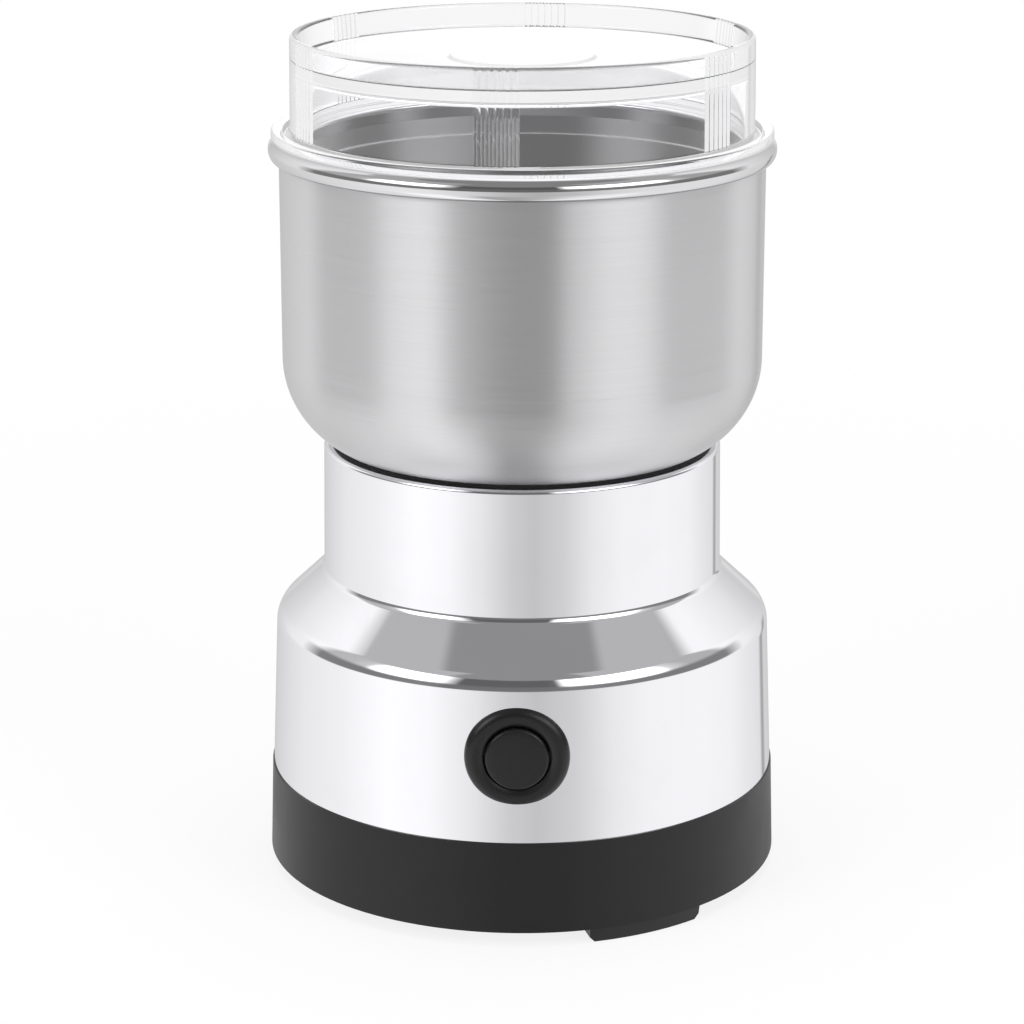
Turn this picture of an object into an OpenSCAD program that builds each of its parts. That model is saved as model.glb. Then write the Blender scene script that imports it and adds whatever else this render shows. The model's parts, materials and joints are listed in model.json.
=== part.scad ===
// Electric spice grinder: a clear lift-off lid over a rolled-rim steel bowl,
// fixed on a polished shell with a black base, and a push-button at the front.
// Millimetres. The origin is the centre of the ring of feet, on the surface it stands on.
// +Z is up and the button faces -Y.

/* [Base] */
// Diameter of the base at its lower edge
base_d = 100; // [92:0.5:120]
// Height of the three arc feet
foot_h = 2.8; // [1.6:0.1:5]
// Arc that one foot takes, in degrees
foot_arc = 28; // [16:1:40]
// Width of a foot, across the wall
foot_w = 6; // [4:0.5:9]
// Angle from the front to the first foot, in degrees
foot_first = 30; // [20:1:45]
// Angle from one foot to the next, in degrees
foot_step = 112.5; // [100:0.5:125]
// Height of the black skirt
skirt_h = 17.6; // [16.4:0.2:26]
// Radius that the skirt loses up to its top edge
skirt_draft = 0.55; // [0:0.05:1.2]
// Wall of the skirt
skirt_wall = 2.4; // [1.8:0.1:3.2]
// Thickness of the deck inside the skirt
deck_t = 2.6; // [2:0.1:3.6]
// Height of the rim on the deck that the shell fits over
upstand_h = 4; // [2:0.2:8]
// Thickness of the bottom cover
cover_t = 2.2; // [1.8:0.1:3]
// Distance from the skirt's lower edge up to the cover
cover_inset = 0.6; // [0.2:0.1:1.4]
// Number of vent slots in each ring of the cover
vent_count = 24; // [12:2:30]
// Width of a vent slot
vent_w = 2; // [1.2:0.1:2.4]

/* [Polished shell] */
// Sheet thickness of the shell
shell_t = 0.8; // [0.5:0.05:1.2]
// Step in from the skirt's top edge to the shell
shell_step = 0.25; // [0:0.05:0.8]
// Height of the side, up to the round under the shoulder
side_h = 29; // [27:0.2:40]
// Radius that the side loses over that height
side_draft = 1.15; // [0.4:0.05:2]
// Radius of the round under the shoulder
shoulder_round = 4.2; // [2:0.1:6]
// Slope of the shoulder, in degrees from level
shoulder_slope = 43.4; // [35:0.2:52]
// Outer radius of the neck at its foot
neck_r = 38.65; // [37:0.05:42]
// Radius that the neck loses up to its top
neck_draft = 0.35; // [0:0.05:0.8]
// Height of the neck
neck_h = 25; // [22:0.2:34]

/* [Bowl] */
// Sheet thickness of the bowl
bowl_t = 0.6; // [0.4:0.05:0.9]
// Radius of the round between the bowl's floor and wall
bowl_round = 18.6; // [14:0.2:22]
// Distance from the neck's outer edge in to the bowl, at the neck's top
bowl_seat_in = 2.9; // [2.2:0.1:3.6]
// Depth that the bowl's floor sinks below the neck's top
bowl_sink = 1.8; // [1.4:0.1:2.6]
// Height of the bowl's straight wall, up to the bead's centre
wall_h = 40.2; // [30:0.2:52]
// Outer radius of the rolled bead
bead_r = 2; // [1.4:0.1:2.6]
// Thickness of the black ring between neck and bowl
ring_t = 0.6; // [0.5:0.1:1.2]

/* [Lid] */
// Wall of the clear lid
lid_t = 1.8; // [1.2:0.1:2.4]
// Height of the lid above its flange
lid_h = 17.5; // [14:0.5:30]
// Depth of the top plate below the rim
plate_drop = 4.5; // [2.5:0.1:7]
// Radius of the raised disc in the top plate
disc_r = 13.5; // [10:0.5:24]
// Height of that disc
disc_h = 0.5; // [0.3:0.1:1.2]
// Thickness of the flange that rests on the bead
flange_t = 1.5; // [1:0.1:2.4]
// Depth that the lid's spigot reaches into the bowl
spigot_h = 8; // [4:0.5:14]
// Number of rib groups round the lid
rib_groups = 6; // [3:1:9]
// Ribs in one group
rib_count = 6; // [3:1:8]
// Distance from rib to rib
rib_pitch = 1.5; // [1.2:0.05:2]
// Radius of one rib
rib_r = 0.5; // [0.3:0.05:0.6]
// How far the lid lifts to come off
lid_lift = 45; // [20:1:80]

/* [Button] */
// Height of the button's centre above the skirt's top edge
button_up = 16.6; // [14:0.2:19]
// Outer diameter of the bezel
bezel_d = 19.6; // [17:0.1:22]
// Diameter of the bezel's opening
mouth_d = 12.4; // [11:0.1:13]
// Gap between the cap and the bezel
cap_gap = 0.35; // [0.2:0.05:0.8]
// Depth of the bezel's dish
dish_h = 0.5; // [0.5:0.1:1.4]
// Travel of the button
button_travel = 2.5; // [1:0.1:3]
// Length of the button's spring at rest
spring_len = 6; // [5:0.1:7.5]

/* [Blades] */
// Reach of a blade from the shaft's centre
blade_r = 34; // [26:0.5:36]
// Thickness of the blade sheet
blade_t = 1.2; // [0.8:0.1:1.6]
// Width of a blade
blade_w = 11; // [9:0.5:14]
// Width of the ground edge
edge_w = 3; // [1.5:0.1:4]
// Length of a blade's turned tip
tip_len = 13; // [8:0.5:15]
// Angle of the turned tips, in degrees
tip_bend = 22; // [8:1:26]
// Height of the hub above the bowl's floor
hub_h = 8; // [7:0.2:12]
// Height of the sleeve between hub and blades
sleeve_h = 2.4; // [1.6:0.1:5]

/* [Motor] */
// Diameter of the shaft
shaft_d = 6; // [5:0.1:8]
// Radius of the armature core
armature_r = 14; // [13:0.1:14.6]
// Air gap between armature and poles
air_gap = 0.5; // [0.3:0.05:0.8]
// Length of the lamination stack
stack_h = 22; // [18:0.5:26]
// Half width of the stator across the poles
stator_x = 27.6; // [26.6:0.1:28]
// Half width of the stator across the yokes
stator_y = 22; // [21:0.1:22.6]
// Outer radius of the stator's corners
stator_r = 29; // [28.4:0.1:29.2]
// Slots in the armature
slot_count = 12; // [8:1:14]
// Bars in the commutator
bar_count = 24; // [12:2:30]
// Radius of the commutator
comm_r = 8; // [7:0.1:8.8]
// Radius of the cooling fan
fan_r = 24; // [18:0.5:27]
// Height of the cooling fan
fan_h = 6; // [4:0.5:7]
// Blades on the cooling fan
fan_count = 11; // [7:1:15]
// Height of the rubber dampers
damper_h = 4; // [3:0.1:6]
// Thickness of the motor brackets
bracket_t = 2; // [1.4:0.1:2.4]

/* [Screws and fits] */
// Shank radius of the casing screws
screw_r = 1.5; // [1.2:0.05:1.8]
// Gap between fixed round pieces that fit together
fit_gap = 0.05; // [0.02:0.01:0.1]
// Running gap of the shaft in its bearings
run_gap = 0.05; // [0.03:0.01:0.09]
// Gap that lets the lid and the button move
slip_gap = 0.3; // [0.2:0.05:0.5]
// Radius of the bore for the mains lead
lead_r = 3.2; // [2.4:0.1:3.4]

/* [Hidden] */
$fn = 96;
// Overrun of a cut past the face it opens
over = 1;
// Steps along a drawn arc
arc_steps = 10;
// Angle of the button round the base
front = -90;
// Running room between a turning piece and what it faces
turn_gap = 1;
// Room past the tip of a screw
tip_gap = 1;

// Base
base_r = base_d / 2;
skirt_z = foot_h;
skirt_top = skirt_z + skirt_h;
skirt_top_r = base_r - skirt_draft;
skirt_in_r = skirt_top_r - skirt_wall;
deck_z = skirt_top - deck_t;
deck_hole_gap = 1.1;
deck_hole_r = stator_r + deck_hole_gap;
cover_z = skirt_z + cover_inset;
cover_top = cover_z + cover_t;
cover_gap = 0.3;
ledge_w = 2;
ledge_h = 1.6;
foot_chamfer = 1.4;
foot_taper = 0.4;
foot_in = 0.3;
foot_root = 1;

// Shell
shell_r = skirt_top_r - shell_step;
side_top_r = shell_r - side_draft;
shoulder_z = skirt_top + side_h;
shoulder_c = side_top_r - shoulder_round;
upstand_r = shell_r - shell_t - slip_gap - side_draft * upstand_h / side_h;
shoulder_turn = 90 - shoulder_slope;
function shoulder_run(in) = (shoulder_c + (shoulder_round - in) * cos(shoulder_turn) - neck_r + in)
    / sin(shoulder_turn);
function neck_foot(in) = shoulder_z + (shoulder_round - in) * sin(shoulder_turn)
    + shoulder_run(in) * cos(shoulder_turn);
neck_top = neck_foot(0) + neck_h;
neck_top_r = neck_r - neck_draft;
neck_round = shell_t;

// Bowl
bowl_floor = neck_top - bowl_sink;
bowl_in = bowl_floor + bowl_t;
bowl_round_z = bowl_floor + bowl_round;
bowl_r = neck_top_r - bowl_seat_in + bowl_round
    - sqrt(pow(bowl_round, 2) - pow(bowl_round - bowl_sink, 2));
function bowl_out(z) = bowl_r - bowl_round + sqrt(pow(bowl_round, 2) - pow(bowl_round_z - z, 2));
bead_z = bowl_round_z + wall_h;
bead_open = 75;
bead_top = bead_z + bead_r;
lip_in_share = 0.7;
lip_up_share = 0.8;
lip_foot_share = 0.25;
neck_hole_r = neck_top_r - bowl_seat_in + fit_gap;
ring_in = 1.6;

// Chassis
chassis_r = neck_top_r - shell_t - slip_gap;
chassis_wall = 2.2;
chassis_skirt = 12;
plate_t = 2.6;
plate_z = bowl_floor - plate_t;
leg_r = 3.6;
leg_in = 0.4;
leg_ring = chassis_r - leg_r - leg_in;
leg_angles = [45, 135, 225, 315];
pilot_depth = 12;
head_r = 2.9;
head_h = 1.9;
socket_r = 1.2;
socket_h = 1;
cover_ring = base_r - foot_w - ledge_w - leg_r - leg_in;
cover_angles = [30, 150, 270];

// Hub and shaft
shaft_r = shaft_d / 2;
barrel_wall = 4;
barrel_r = shaft_r + barrel_wall;
hub_r = 13;
hub_flange = 2;
hub_flare = 2.5;
hub_waist = barrel_r + hub_flare;
hub_top = bowl_in + hub_h;
nut_h = 4.5;
nut_wall = 5.5;
nut_r = barrel_r + nut_wall;
barrel_out = 1;
barrel_z = plate_z - nut_h - barrel_out;
seal_h = 2.6;
seal_wall = 2.2;
seal_r = shaft_r + seal_wall;
hub_bore = shaft_r + slip_gap;
stud_step = 0.5;
stud_r = shaft_r - stud_step;
sleeve_wall = 2.5;
sleeve_r = shaft_r + sleeve_wall;
blade_z = hub_top + slip_gap + sleeve_h;
edge_left = 0.2;
washer_t = 0.8;
washer_r = sleeve_r;
nut_z = blade_z + 2 * blade_t + washer_t;
blade_nut_in = 0.5;
blade_nut_r = sleeve_r - blade_nut_in;
blade_nut_h = 3.2;
dome_in = 1;
dome_r = blade_nut_r - dome_in;
dome_sink = 1;

// Motor, from the bottom up
shaft_z = cover_top + cover_t;
fan_z = shaft_z + turn_gap;
fan_disc = 1.2;
fan_sweep = 12;
fan_hub_wall = 3;
fan_hub_r = shaft_r + fan_hub_wall;
bush_wall = 2.5;
bush_r = shaft_r + bush_wall;
bush_h = 7;
boss_wall = 2;
boss_r = bush_r + boss_wall;
low_boss_z = fan_z + fan_h + turn_gap;
low_boss_drop = 2;
low_bar_z = low_boss_z + low_boss_drop;
bracket_drop = 15;
stack_z = low_bar_z + bracket_t + bracket_drop;
stack_top = stack_z + stack_h;
bracket_rise = 9;
up_bar_z = stack_top + bracket_rise;
up_boss_drop = 3.5;
up_boss_z = up_bar_z - up_boss_drop;
bracket_x = 22;
riser_y = armature_r + air_gap + turn_gap;
bracket_out = 2.5;
bracket_y = stator_y + bracket_out;
damper_r = 4;
damper_x = 7.5;
damper_y = 20.5;
damper_z = up_bar_z + bracket_t;
hanger_z = damper_z + damper_h;
bolt_x = 8;
bolt_y = (stator_y + riser_y + bracket_t) / 2 + fit_gap;
bolt_head = (stator_y - riser_y - bracket_t) / 2 - fit_gap;
bolt_share = 0.55;
bolt_r = bolt_share * bolt_head;
bolt_head_h = 1.8;
neck_half = 6.4;
pole_in = armature_r + air_gap;
pole_tip = 2.2;
pole_turn = 62;
window_x = 22;
window_y = 16.5;
window_r = 26.2;
coil_gap = 0.4;
coil_x = window_x - pole_in - pole_tip - 2 * coil_gap;
coil_wall = 6.5;
coil_y = neck_half + coil_wall;
coil_over = 5;
coil_bevel = coil_over * sqrt(0.5);
comm_gap = 0.5;
comm_z = low_boss_z + bush_h + comm_gap;
comm_h = 8.5;
comm_mid = comm_z + comm_h / 2;
comm_slit = 0.4;
comm_depth = 1.2;
wind_in = 1;
wind_r = armature_r - wind_in;
wind_h = stack_z - comm_z - comm_h - 2 * coil_gap;
slot_in = 3.4;
slot_r = armature_r - slot_in;
slot_hole = 2;
slot_slit = 1.2;

// Brushes
brush_gap = 0.1;
brush_x = 6.2;
brush_z = 4.8;
brush_len = 8;
tube_wall = 0.5;
tube_gap = 0.1;
tube_clear = 1.4;
tube_in = comm_r + tube_clear;
tube_back = 1;
tube_out = bracket_y - tube_back;
tube_cap = 0.6;

// Button and switch
button_z = skirt_top + button_up;
bezel_r = bezel_d / 2;
mouth_r = mouth_d / 2;
front_y = base_r - 2 * fit_gap;
cap_out = 0.6;
rim_y = front_y - cap_out;
edge_round = 1.2;
collar_w = 0.8;
collar_r = mouth_r + collar_w;
guide_wall = 1.2;
tube_r = collar_r + guide_wall;
collar_t = 1.6;
cap_r = mouth_r - cap_gap;
cap_dome = 0.4;
mouth_depth = 2;
step_y = rim_y - dish_h - mouth_depth;
collar_y = step_y - slip_gap;
stem_r = 2;
guide_t = 1.2;
guide_y = collar_y - collar_t - spring_len;
tube_end = guide_y - guide_t;
stem_out = 0.8;
stem_y = tube_end - stem_out;
switch_y = stem_y - slip_gap;
bezel_nut_wall = 2.8;
bezel_nut_r = tube_r + bezel_nut_wall;
bezel_nut_t = 2.4;
nut_grips = 8;
grip_r = 1.2;
wall_in_r = shell_r - shell_t - side_draft * button_up / side_h;
bezel_nut_y = sqrt(pow(wall_in_r, 2) - pow(bezel_nut_r, 2)) - fit_gap;
switch_x = 20;
switch_h = 10.5;
switch_d = 8;
plunger_gap = 0.4;
plunger_hole = stem_r + plunger_gap;
bracket_y_in = switch_y - switch_d;
bracket_sheet = 1.5;
bracket_foot = 9;
switch_screw_x = 7;
foot_screw_y = bracket_y_in + bracket_foot - bracket_sheet - head_r - slip_gap;
spring_wire = 0.35;
spring_gap = 1.6;
spring_r = stem_r + spring_gap;
spring_turns = 5;

// Lid
lid_in = 2.2;
lid_r = bowl_r - lid_in;
flange_in = 0.6;
flange_r = bowl_r + bead_r - flange_in;
flange_z = bead_top + slip_gap;
flange_top = flange_z + flange_t;
lid_top = flange_top + lid_h;
lid_draft = 0.2;
spigot_r = bowl_r - bowl_t - slip_gap;
spigot_z = flange_z - spigot_h;
plate_top = lid_top - plate_drop;
lid_edge = 0.6;
rib_group_first = -96.4;

// Lead inlet
inlet_z = (deck_z + cover_top + ledge_h) / 2;
inlet_flange = (deck_z - cover_top - ledge_h) / 2 - fit_gap;
inlet_lip = 0.6;
inlet_r = inlet_flange - inlet_lip;
inlet_flange_t = 1.2;

// Points along an arc of centre c, from angle a0 to a1
function arc(c, r, a0, a1, n = arc_steps) =
    [for (i = [0 : n]) [c[0] + r * cos(a0 + (a1 - a0) * i / n), c[1] + r * sin(a0 + (a1 - a0) * i / n)]];
function flip(v) = [for (i = [len(v) - 1 : -1 : 0]) v[i]];

// Side of the shell, inset by "in" from the outer face, from its lower edge to the neck's foot
function shell_side(in) = concat(
    [[shell_r - in, skirt_top]],
    arc([shoulder_c, shoulder_z], shoulder_round - in, 0, shoulder_turn),
    [[neck_r - in, neck_foot(in)]]);

// A ring between two radii
module tube(r_out, r_in, h, z) {
    translate([0, 0, z])
        difference() {
            cylinder(r = r_out, h = h);
            translate([0, 0, -over]) cylinder(r = r_in, h = h + 2 * over);
        }
}

// A copy at each angle of a ring
module at_ring(angles, r) {
    for (a = angles) rotate([0, 0, a]) translate([r, 0, 0]) children();
}

// A copy in each quarter
module in_quarters(x, y) {
    for (sx = [-1, 1], sy = [-1, 1]) translate([sx * x, sy * y, 0]) children();
}

// A round bar along Y at the button's height, from y0 forwards
module front_bar(r, y0, y1) {
    translate([0, -y0, button_z]) rotate([90, 0, 0]) cylinder(r = r, h = y1 - y0);
}

// A screw with its head down at z and its shank up
module screw_up(z, len) {
    difference() {
        union() {
            translate([0, 0, z]) cylinder(r = head_r, h = head_h);
            translate([0, 0, z + head_h]) cylinder(r = screw_r, h = len);
        }
        translate([0, 0, z - over]) cylinder(r = socket_r, h = socket_h + over, $fn = 6);
    }
}

// A tube of radius r swept along points, closed at both ends
module swept(points, r, sides) {
    n = len(points);
    rings = [for (i = [0 : n - 1])
        let (
            back = points[max(i - 1, 0)],
            ahead = points[min(i + 1, n - 1)],
            along = (ahead - back) / norm(ahead - back),
            side = cross(along, [0, 0, 1]),
            u = side / norm(side),
            v = cross(u, along)
        )
        [for (k = [0 : sides - 1]) points[i] + r * (cos(360 * k / sides) * u + sin(360 * k / sides) * v)]];
    faces = concat(
        [[for (k = [sides - 1 : -1 : 0]) k]],
        [for (i = [0 : n - 2], k = [0 : sides - 1]) let (j = (k + 1) % sides)
            [i * sides + k, (i + 1) * sides + j, (i + 1) * sides + k]],
        [for (i = [0 : n - 2], k = [0 : sides - 1]) let (j = (k + 1) % sides)
            [i * sides + k, i * sides + j, (i + 1) * sides + j]],
        [[for (k = [0 : sides - 1]) (n - 1) * sides + k]]);
    polyhedron(points = [for (ring = rings) each ring], faces = faces);
}

// A coil spring along +X, as a helix of wire
module coil_spring(len, r, wire, turns) {
    steps = 8 * turns;
    pts = [for (i = [0 : steps])
        [wire + (len - 2 * wire) * i / steps, r * cos(45 * i), r * sin(45 * i)]];
    swept(pts, wire, 6);
}

// One arc foot, a little inside the skirt's lower edge, with its ends chamfered
module foot() {
    difference() {
        rotate([0, 0, -foot_arc / 2])
            rotate_extrude(angle = foot_arc)
                polygon([
                    [base_r - foot_w + foot_in + foot_taper, 0],
                    [base_r - foot_in - foot_taper, 0],
                    [base_r - foot_in, foot_h],
                    [base_r - foot_in - foot_taper, foot_h + foot_root],
                    [base_r - foot_w + foot_in + foot_taper, foot_h + foot_root],
                    [base_r - foot_w + foot_in, foot_h]
                ]);
        for (s = [-1, 1])
            rotate([0, 0, s * foot_arc / 2])
                translate([base_r - foot_w / 2, 0, 0])
                    rotate([45, 0, 0])
                        cube([2 * foot_w, foot_chamfer, foot_chamfer], center = true);
    }
}

module base_skirt() color([0.12, 0.12, 0.13]) {
    difference() {
        union() {
            rotate_extrude()
                polygon([
                    [base_r - foot_w, skirt_z],
                    [base_r, skirt_z],
                    [skirt_top_r, skirt_top],
                    [upstand_r, skirt_top],
                    [upstand_r, skirt_top + upstand_h],
                    [upstand_r - skirt_wall / 2, skirt_top + upstand_h],
                    [upstand_r - skirt_wall, skirt_top],
                    [deck_hole_r, skirt_top],
                    [deck_hole_r, deck_z],
                    [skirt_in_r, deck_z],
                    [skirt_in_r, cover_top + ledge_h],
                    [base_r - foot_w - ledge_w, cover_top + ledge_h],
                    [base_r - foot_w - ledge_w, cover_top],
                    [base_r - foot_w, cover_top]
                ]);
            at_ring([for (i = [0 : 2]) front + foot_first + i * foot_step], 0) foot();
            at_ring(cover_angles, cover_ring)
                translate([0, 0, cover_top]) cylinder(r = leg_r, h = deck_z - cover_top + deck_t / 2);
        }
        at_ring(leg_angles, leg_ring)
            translate([0, 0, deck_z - over]) cylinder(r = screw_r + slip_gap, h = deck_t + 2 * over);
        at_ring(cover_angles, cover_ring)
            translate([0, 0, cover_top - over]) cylinder(r = screw_r + fit_gap, h = pilot_depth + over);
        for (s = [-1, 1])
            translate([s * switch_screw_x, -foot_screw_y, deck_z - over])
                cylinder(r = screw_r + fit_gap, h = deck_t + 2 * over);
        translate([0, deck_hole_r, inlet_z])
            rotate([-90, 0, 0])
                cylinder(r = inlet_r + fit_gap, h = base_r);
    }
}

module bottom_cover() color([0.1, 0.1, 0.11]) {
    slot_len = (cover_ring - fan_hub_r) / 3;
    difference() {
        translate([0, 0, cover_z]) cylinder(r = base_r - foot_w - cover_gap, h = cover_t);
        translate([0, 0, cover_z - over])
            linear_extrude(cover_t + 2 * over)
                for (i = [0 : vent_count - 1])
                    rotate([0, 0, 360 * (i + 0.5) / vent_count]) {
                        translate([fan_hub_r + slot_len, -vent_w / 2]) square([slot_len, vent_w]);
                        translate([fan_hub_r + slot_len, 0]) circle(r = vent_w / 2, $fn = 24);
                        translate([fan_hub_r + 2 * slot_len, 0]) circle(r = vent_w / 2, $fn = 24);
                    }
        at_ring(cover_angles, cover_ring) {
            translate([0, 0, cover_z - over]) cylinder(r = screw_r + slip_gap, h = cover_t + 2 * over);
            translate([0, 0, cover_z - over]) cylinder(r = head_r + slip_gap, h = cover_t / 2 + over);
        }
    }
}

module cover_screws() color([0.62, 0.63, 0.65]) {
    at_ring(cover_angles, cover_ring)
        difference() {
            union() {
                translate([0, 0, cover_z]) cylinder(r = head_r, h = cover_t / 2);
                translate([0, 0, cover_z + cover_t / 2])
                    cylinder(r = screw_r, h = cover_t / 2 + pilot_depth - tip_gap);
            }
            translate([0, 0, cover_z - over]) cylinder(r = socket_r, h = cover_t / 3 + over, $fn = 6);
        }
}

module outer_shell() color([0.86, 0.86, 0.88]) {
    difference() {
        rotate_extrude()
            polygon(concat(
                shell_side(0),
                arc([neck_top_r - neck_round, neck_top - neck_round], neck_round, 0, 90, 4),
                [[neck_hole_r, neck_top], [neck_hole_r, neck_top - shell_t],
                    [neck_top_r - shell_t, neck_top - shell_t]],
                flip(shell_side(shell_t))));
        front_bar(tube_r + fit_gap, skirt_in_r / 2, base_r + over);
    }
}

module chassis() color([0.9, 0.9, 0.88]) {
    difference() {
        union() {
            tube(chassis_r, neck_hole_r, neck_top - shell_t - plate_z, plate_z);
            translate([0, 0, plate_z]) cylinder(r = chassis_r, h = plate_t);
            tube(chassis_r, chassis_r - chassis_wall, chassis_skirt, plate_z - chassis_skirt);
            at_ring(leg_angles, leg_ring)
                translate([0, 0, skirt_top]) cylinder(r = leg_r, h = plate_z - skirt_top);
            in_quarters(damper_x, damper_y)
                translate([0, 0, hanger_z]) cylinder(r = damper_r, h = plate_z - hanger_z);
        }
        translate([0, 0, plate_z - over]) cylinder(r = barrel_r + fit_gap, h = plate_t + 2 * over);
        at_ring(leg_angles, leg_ring)
            translate([0, 0, skirt_top - over]) cylinder(r = screw_r + fit_gap, h = pilot_depth + over);
        in_quarters(damper_x, damper_y) {
            translate([0, 0, hanger_z - over])
                cylinder(r = screw_r + slip_gap, h = bowl_floor - hanger_z + 2 * over);
            translate([0, 0, bowl_floor - head_h - fit_gap])
                cylinder(r = head_r + slip_gap, h = head_h + over);
        }
    }
}

module chassis_screws() color([0.62, 0.63, 0.65]) {
    at_ring(leg_angles, leg_ring) screw_up(deck_z - head_h, deck_t + pilot_depth - tip_gap);
}

module bowl() color([0.75, 0.75, 0.74]) {
    rotate_extrude()
        polygon(concat(
            [[barrel_r + fit_gap, bowl_floor]],
            arc([bowl_r - bowl_round, bowl_round_z], bowl_round, -90, 0, 16),
            [[bowl_r, bead_z + bead_r - bowl_t]],
            arc([bowl_r, bead_z], bead_r - bowl_t, 80, -bead_open),
            arc([bowl_r, bead_z], bead_r, -bead_open, 90, 14),
            [[bowl_r - lip_in_share * bowl_t, bead_z + lip_up_share * bead_r],
                [bowl_r - bowl_t, bead_z + lip_foot_share * bead_r]],
            arc([bowl_r - bowl_round, bowl_round_z], bowl_round - bowl_t, 0, -90, 16),
            [[barrel_r + fit_gap, bowl_in]]));
}

module bowl_seat_ring() color([0.06, 0.06, 0.06]) {
    difference() {
        tube(neck_top_r - ring_in, neck_hole_r - ring_t, ring_t, neck_top);
        rotate_extrude()
            polygon(concat(
                [[0, bowl_floor]],
                arc([bowl_r - bowl_round, bowl_round_z], bowl_round, -90, 0, 16),
                [[0, bowl_round_z]]));
    }
}

module bowl_hub() color([0.5, 0.5, 0.52]) {
    difference() {
        union() {
            translate([0, 0, barrel_z]) cylinder(r = barrel_r, h = bowl_in - barrel_z + hub_flange);
            translate([0, 0, bowl_in]) cylinder(r1 = hub_r, r2 = hub_r - hub_flange / 2, h = hub_flange);
            translate([0, 0, bowl_in + hub_flange])
                cylinder(r1 = hub_waist, r2 = barrel_r, h = hub_h - hub_flange);
        }
        translate([0, 0, barrel_z - over]) cylinder(r = hub_bore, h = hub_top - barrel_z + 2 * over);
        translate([0, 0, hub_top - seal_h]) cylinder(r = seal_r + fit_gap, h = seal_h + over);
    }
}

module hub_nut() color([0.7, 0.7, 0.72]) {
    difference() {
        translate([0, 0, plate_z - nut_h]) cylinder(r = nut_r, h = nut_h, $fn = 6);
        translate([0, 0, plate_z - nut_h - over]) cylinder(r = barrel_r + fit_gap, h = nut_h + 2 * over);
    }
}

module shaft_seal() color([0.08, 0.08, 0.08])
    tube(seal_r, shaft_r + run_gap, seal_h - slip_gap, hub_top - seal_h);

module upper_bearing() color([0.72, 0.5, 0.3])
    tube(bush_r, shaft_r + run_gap, bush_h, up_boss_z);

module lower_bearing() color([0.72, 0.5, 0.3])
    tube(bush_r, shaft_r + run_gap, bush_h, low_boss_z);

// A bracket's bent sheet: two feet on the stator, two risers and the bar that joins them
module bracket_sheet_at(foot_z, bar_z, bar_y) {
    low = min(foot_z, bar_z);
    high = max(foot_z, bar_z);
    for (s = [-1, 1]) {
        translate([-bracket_x / 2, s > 0 ? riser_y : -stator_y, foot_z])
            cube([bracket_x, stator_y - riser_y, bracket_t]);
        translate([-bracket_x / 2, s > 0 ? riser_y : -riser_y - bracket_t, low])
            cube([bracket_x, bracket_t, high - low + bracket_t]);
    }
    translate([-bracket_x / 2, -bar_y, bar_z]) cube([bracket_x, 2 * bar_y, bracket_t]);
}

module upper_bracket() color([0.66, 0.67, 0.7]) {
    difference() {
        union() {
            bracket_sheet_at(stack_top, up_bar_z, bracket_y);
            translate([0, 0, up_boss_z]) cylinder(r = boss_r, h = bush_h);
        }
        translate([0, 0, up_boss_z - over]) cylinder(r = bush_r + fit_gap, h = bush_h + 2 * over);
        in_quarters(bolt_x, bolt_y)
            translate([0, 0, stack_top - over]) cylinder(r = bolt_r + fit_gap, h = bracket_t + 2 * over);
        in_quarters(damper_x, damper_y)
            translate([0, 0, up_bar_z - over]) cylinder(r = screw_r + fit_gap, h = bracket_t + 2 * over);
    }
}

module lower_bracket() color([0.66, 0.67, 0.7]) {
    difference() {
        union() {
            bracket_sheet_at(stack_z - bracket_t, low_bar_z, riser_y + bracket_t);
            translate([0, 0, low_boss_z]) cylinder(r = boss_r, h = bush_h);
        }
        translate([0, 0, low_boss_z - over]) cylinder(r = bush_r + fit_gap, h = bush_h + 2 * over);
        in_quarters(bolt_x, bolt_y)
            translate([0, 0, stack_z - bracket_t - over])
                cylinder(r = bolt_r + fit_gap, h = bracket_t + 2 * over);
        translate([0, 0, comm_mid])
            cube([brush_x + 2 * (tube_gap + tube_wall + fit_gap), 3 * bracket_y,
                brush_z + 2 * (tube_gap + tube_wall + fit_gap)], center = true);
    }
}

module stator_core() color([0.45, 0.46, 0.48]) {
    translate([0, 0, stack_z])
        linear_extrude(stack_h)
            difference() {
                union() {
                    difference() {
                        intersection() {
                            circle(r = stator_r);
                            square([2 * stator_x, 2 * stator_y], center = true);
                        }
                        intersection() {
                            circle(r = window_r);
                            square([2 * window_x, 2 * window_y], center = true);
                        }
                    }
                    for (s = [-1, 1])
                        translate([s * (window_x + pole_in + pole_tip / 2) / 2, 0])
                            square([window_x - pole_in + pole_tip, 2 * neck_half], center = true);
                    difference() {
                        circle(r = pole_in + pole_tip);
                        for (a = [90, 270])
                            rotate(a)
                                polygon([[0, 0], 2 * window_x * [cos(90 - pole_turn), -sin(90 - pole_turn)],
                                    2 * window_x * [cos(90 - pole_turn), sin(90 - pole_turn)]]);
                    }
                }
                circle(r = pole_in);
                in_quarters(bolt_x, bolt_y) circle(r = bolt_r + fit_gap, $fn = 32);
            }
}

module field_coils() color([0.72, 0.4, 0.22]) {
    for (s = [-1, 1])
        translate([s * (pole_in + pole_tip + coil_gap + coil_x / 2), 0, stack_z + stack_h / 2])
            difference() {
                cube([coil_x, 2 * coil_y, stack_h + 2 * coil_over], center = true);
                cube([coil_x + 2 * over, 2 * (neck_half + coil_gap), stack_h + 2 * coil_gap],
                    center = true);
                for (sy = [-1, 1], sz = [-1, 1])
                    translate([0, sy * coil_y, sz * (stack_h / 2 + coil_over)])
                        rotate([45, 0, 0])
                            cube([coil_x + 2 * over, coil_bevel, coil_bevel], center = true);
            }
}

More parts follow.
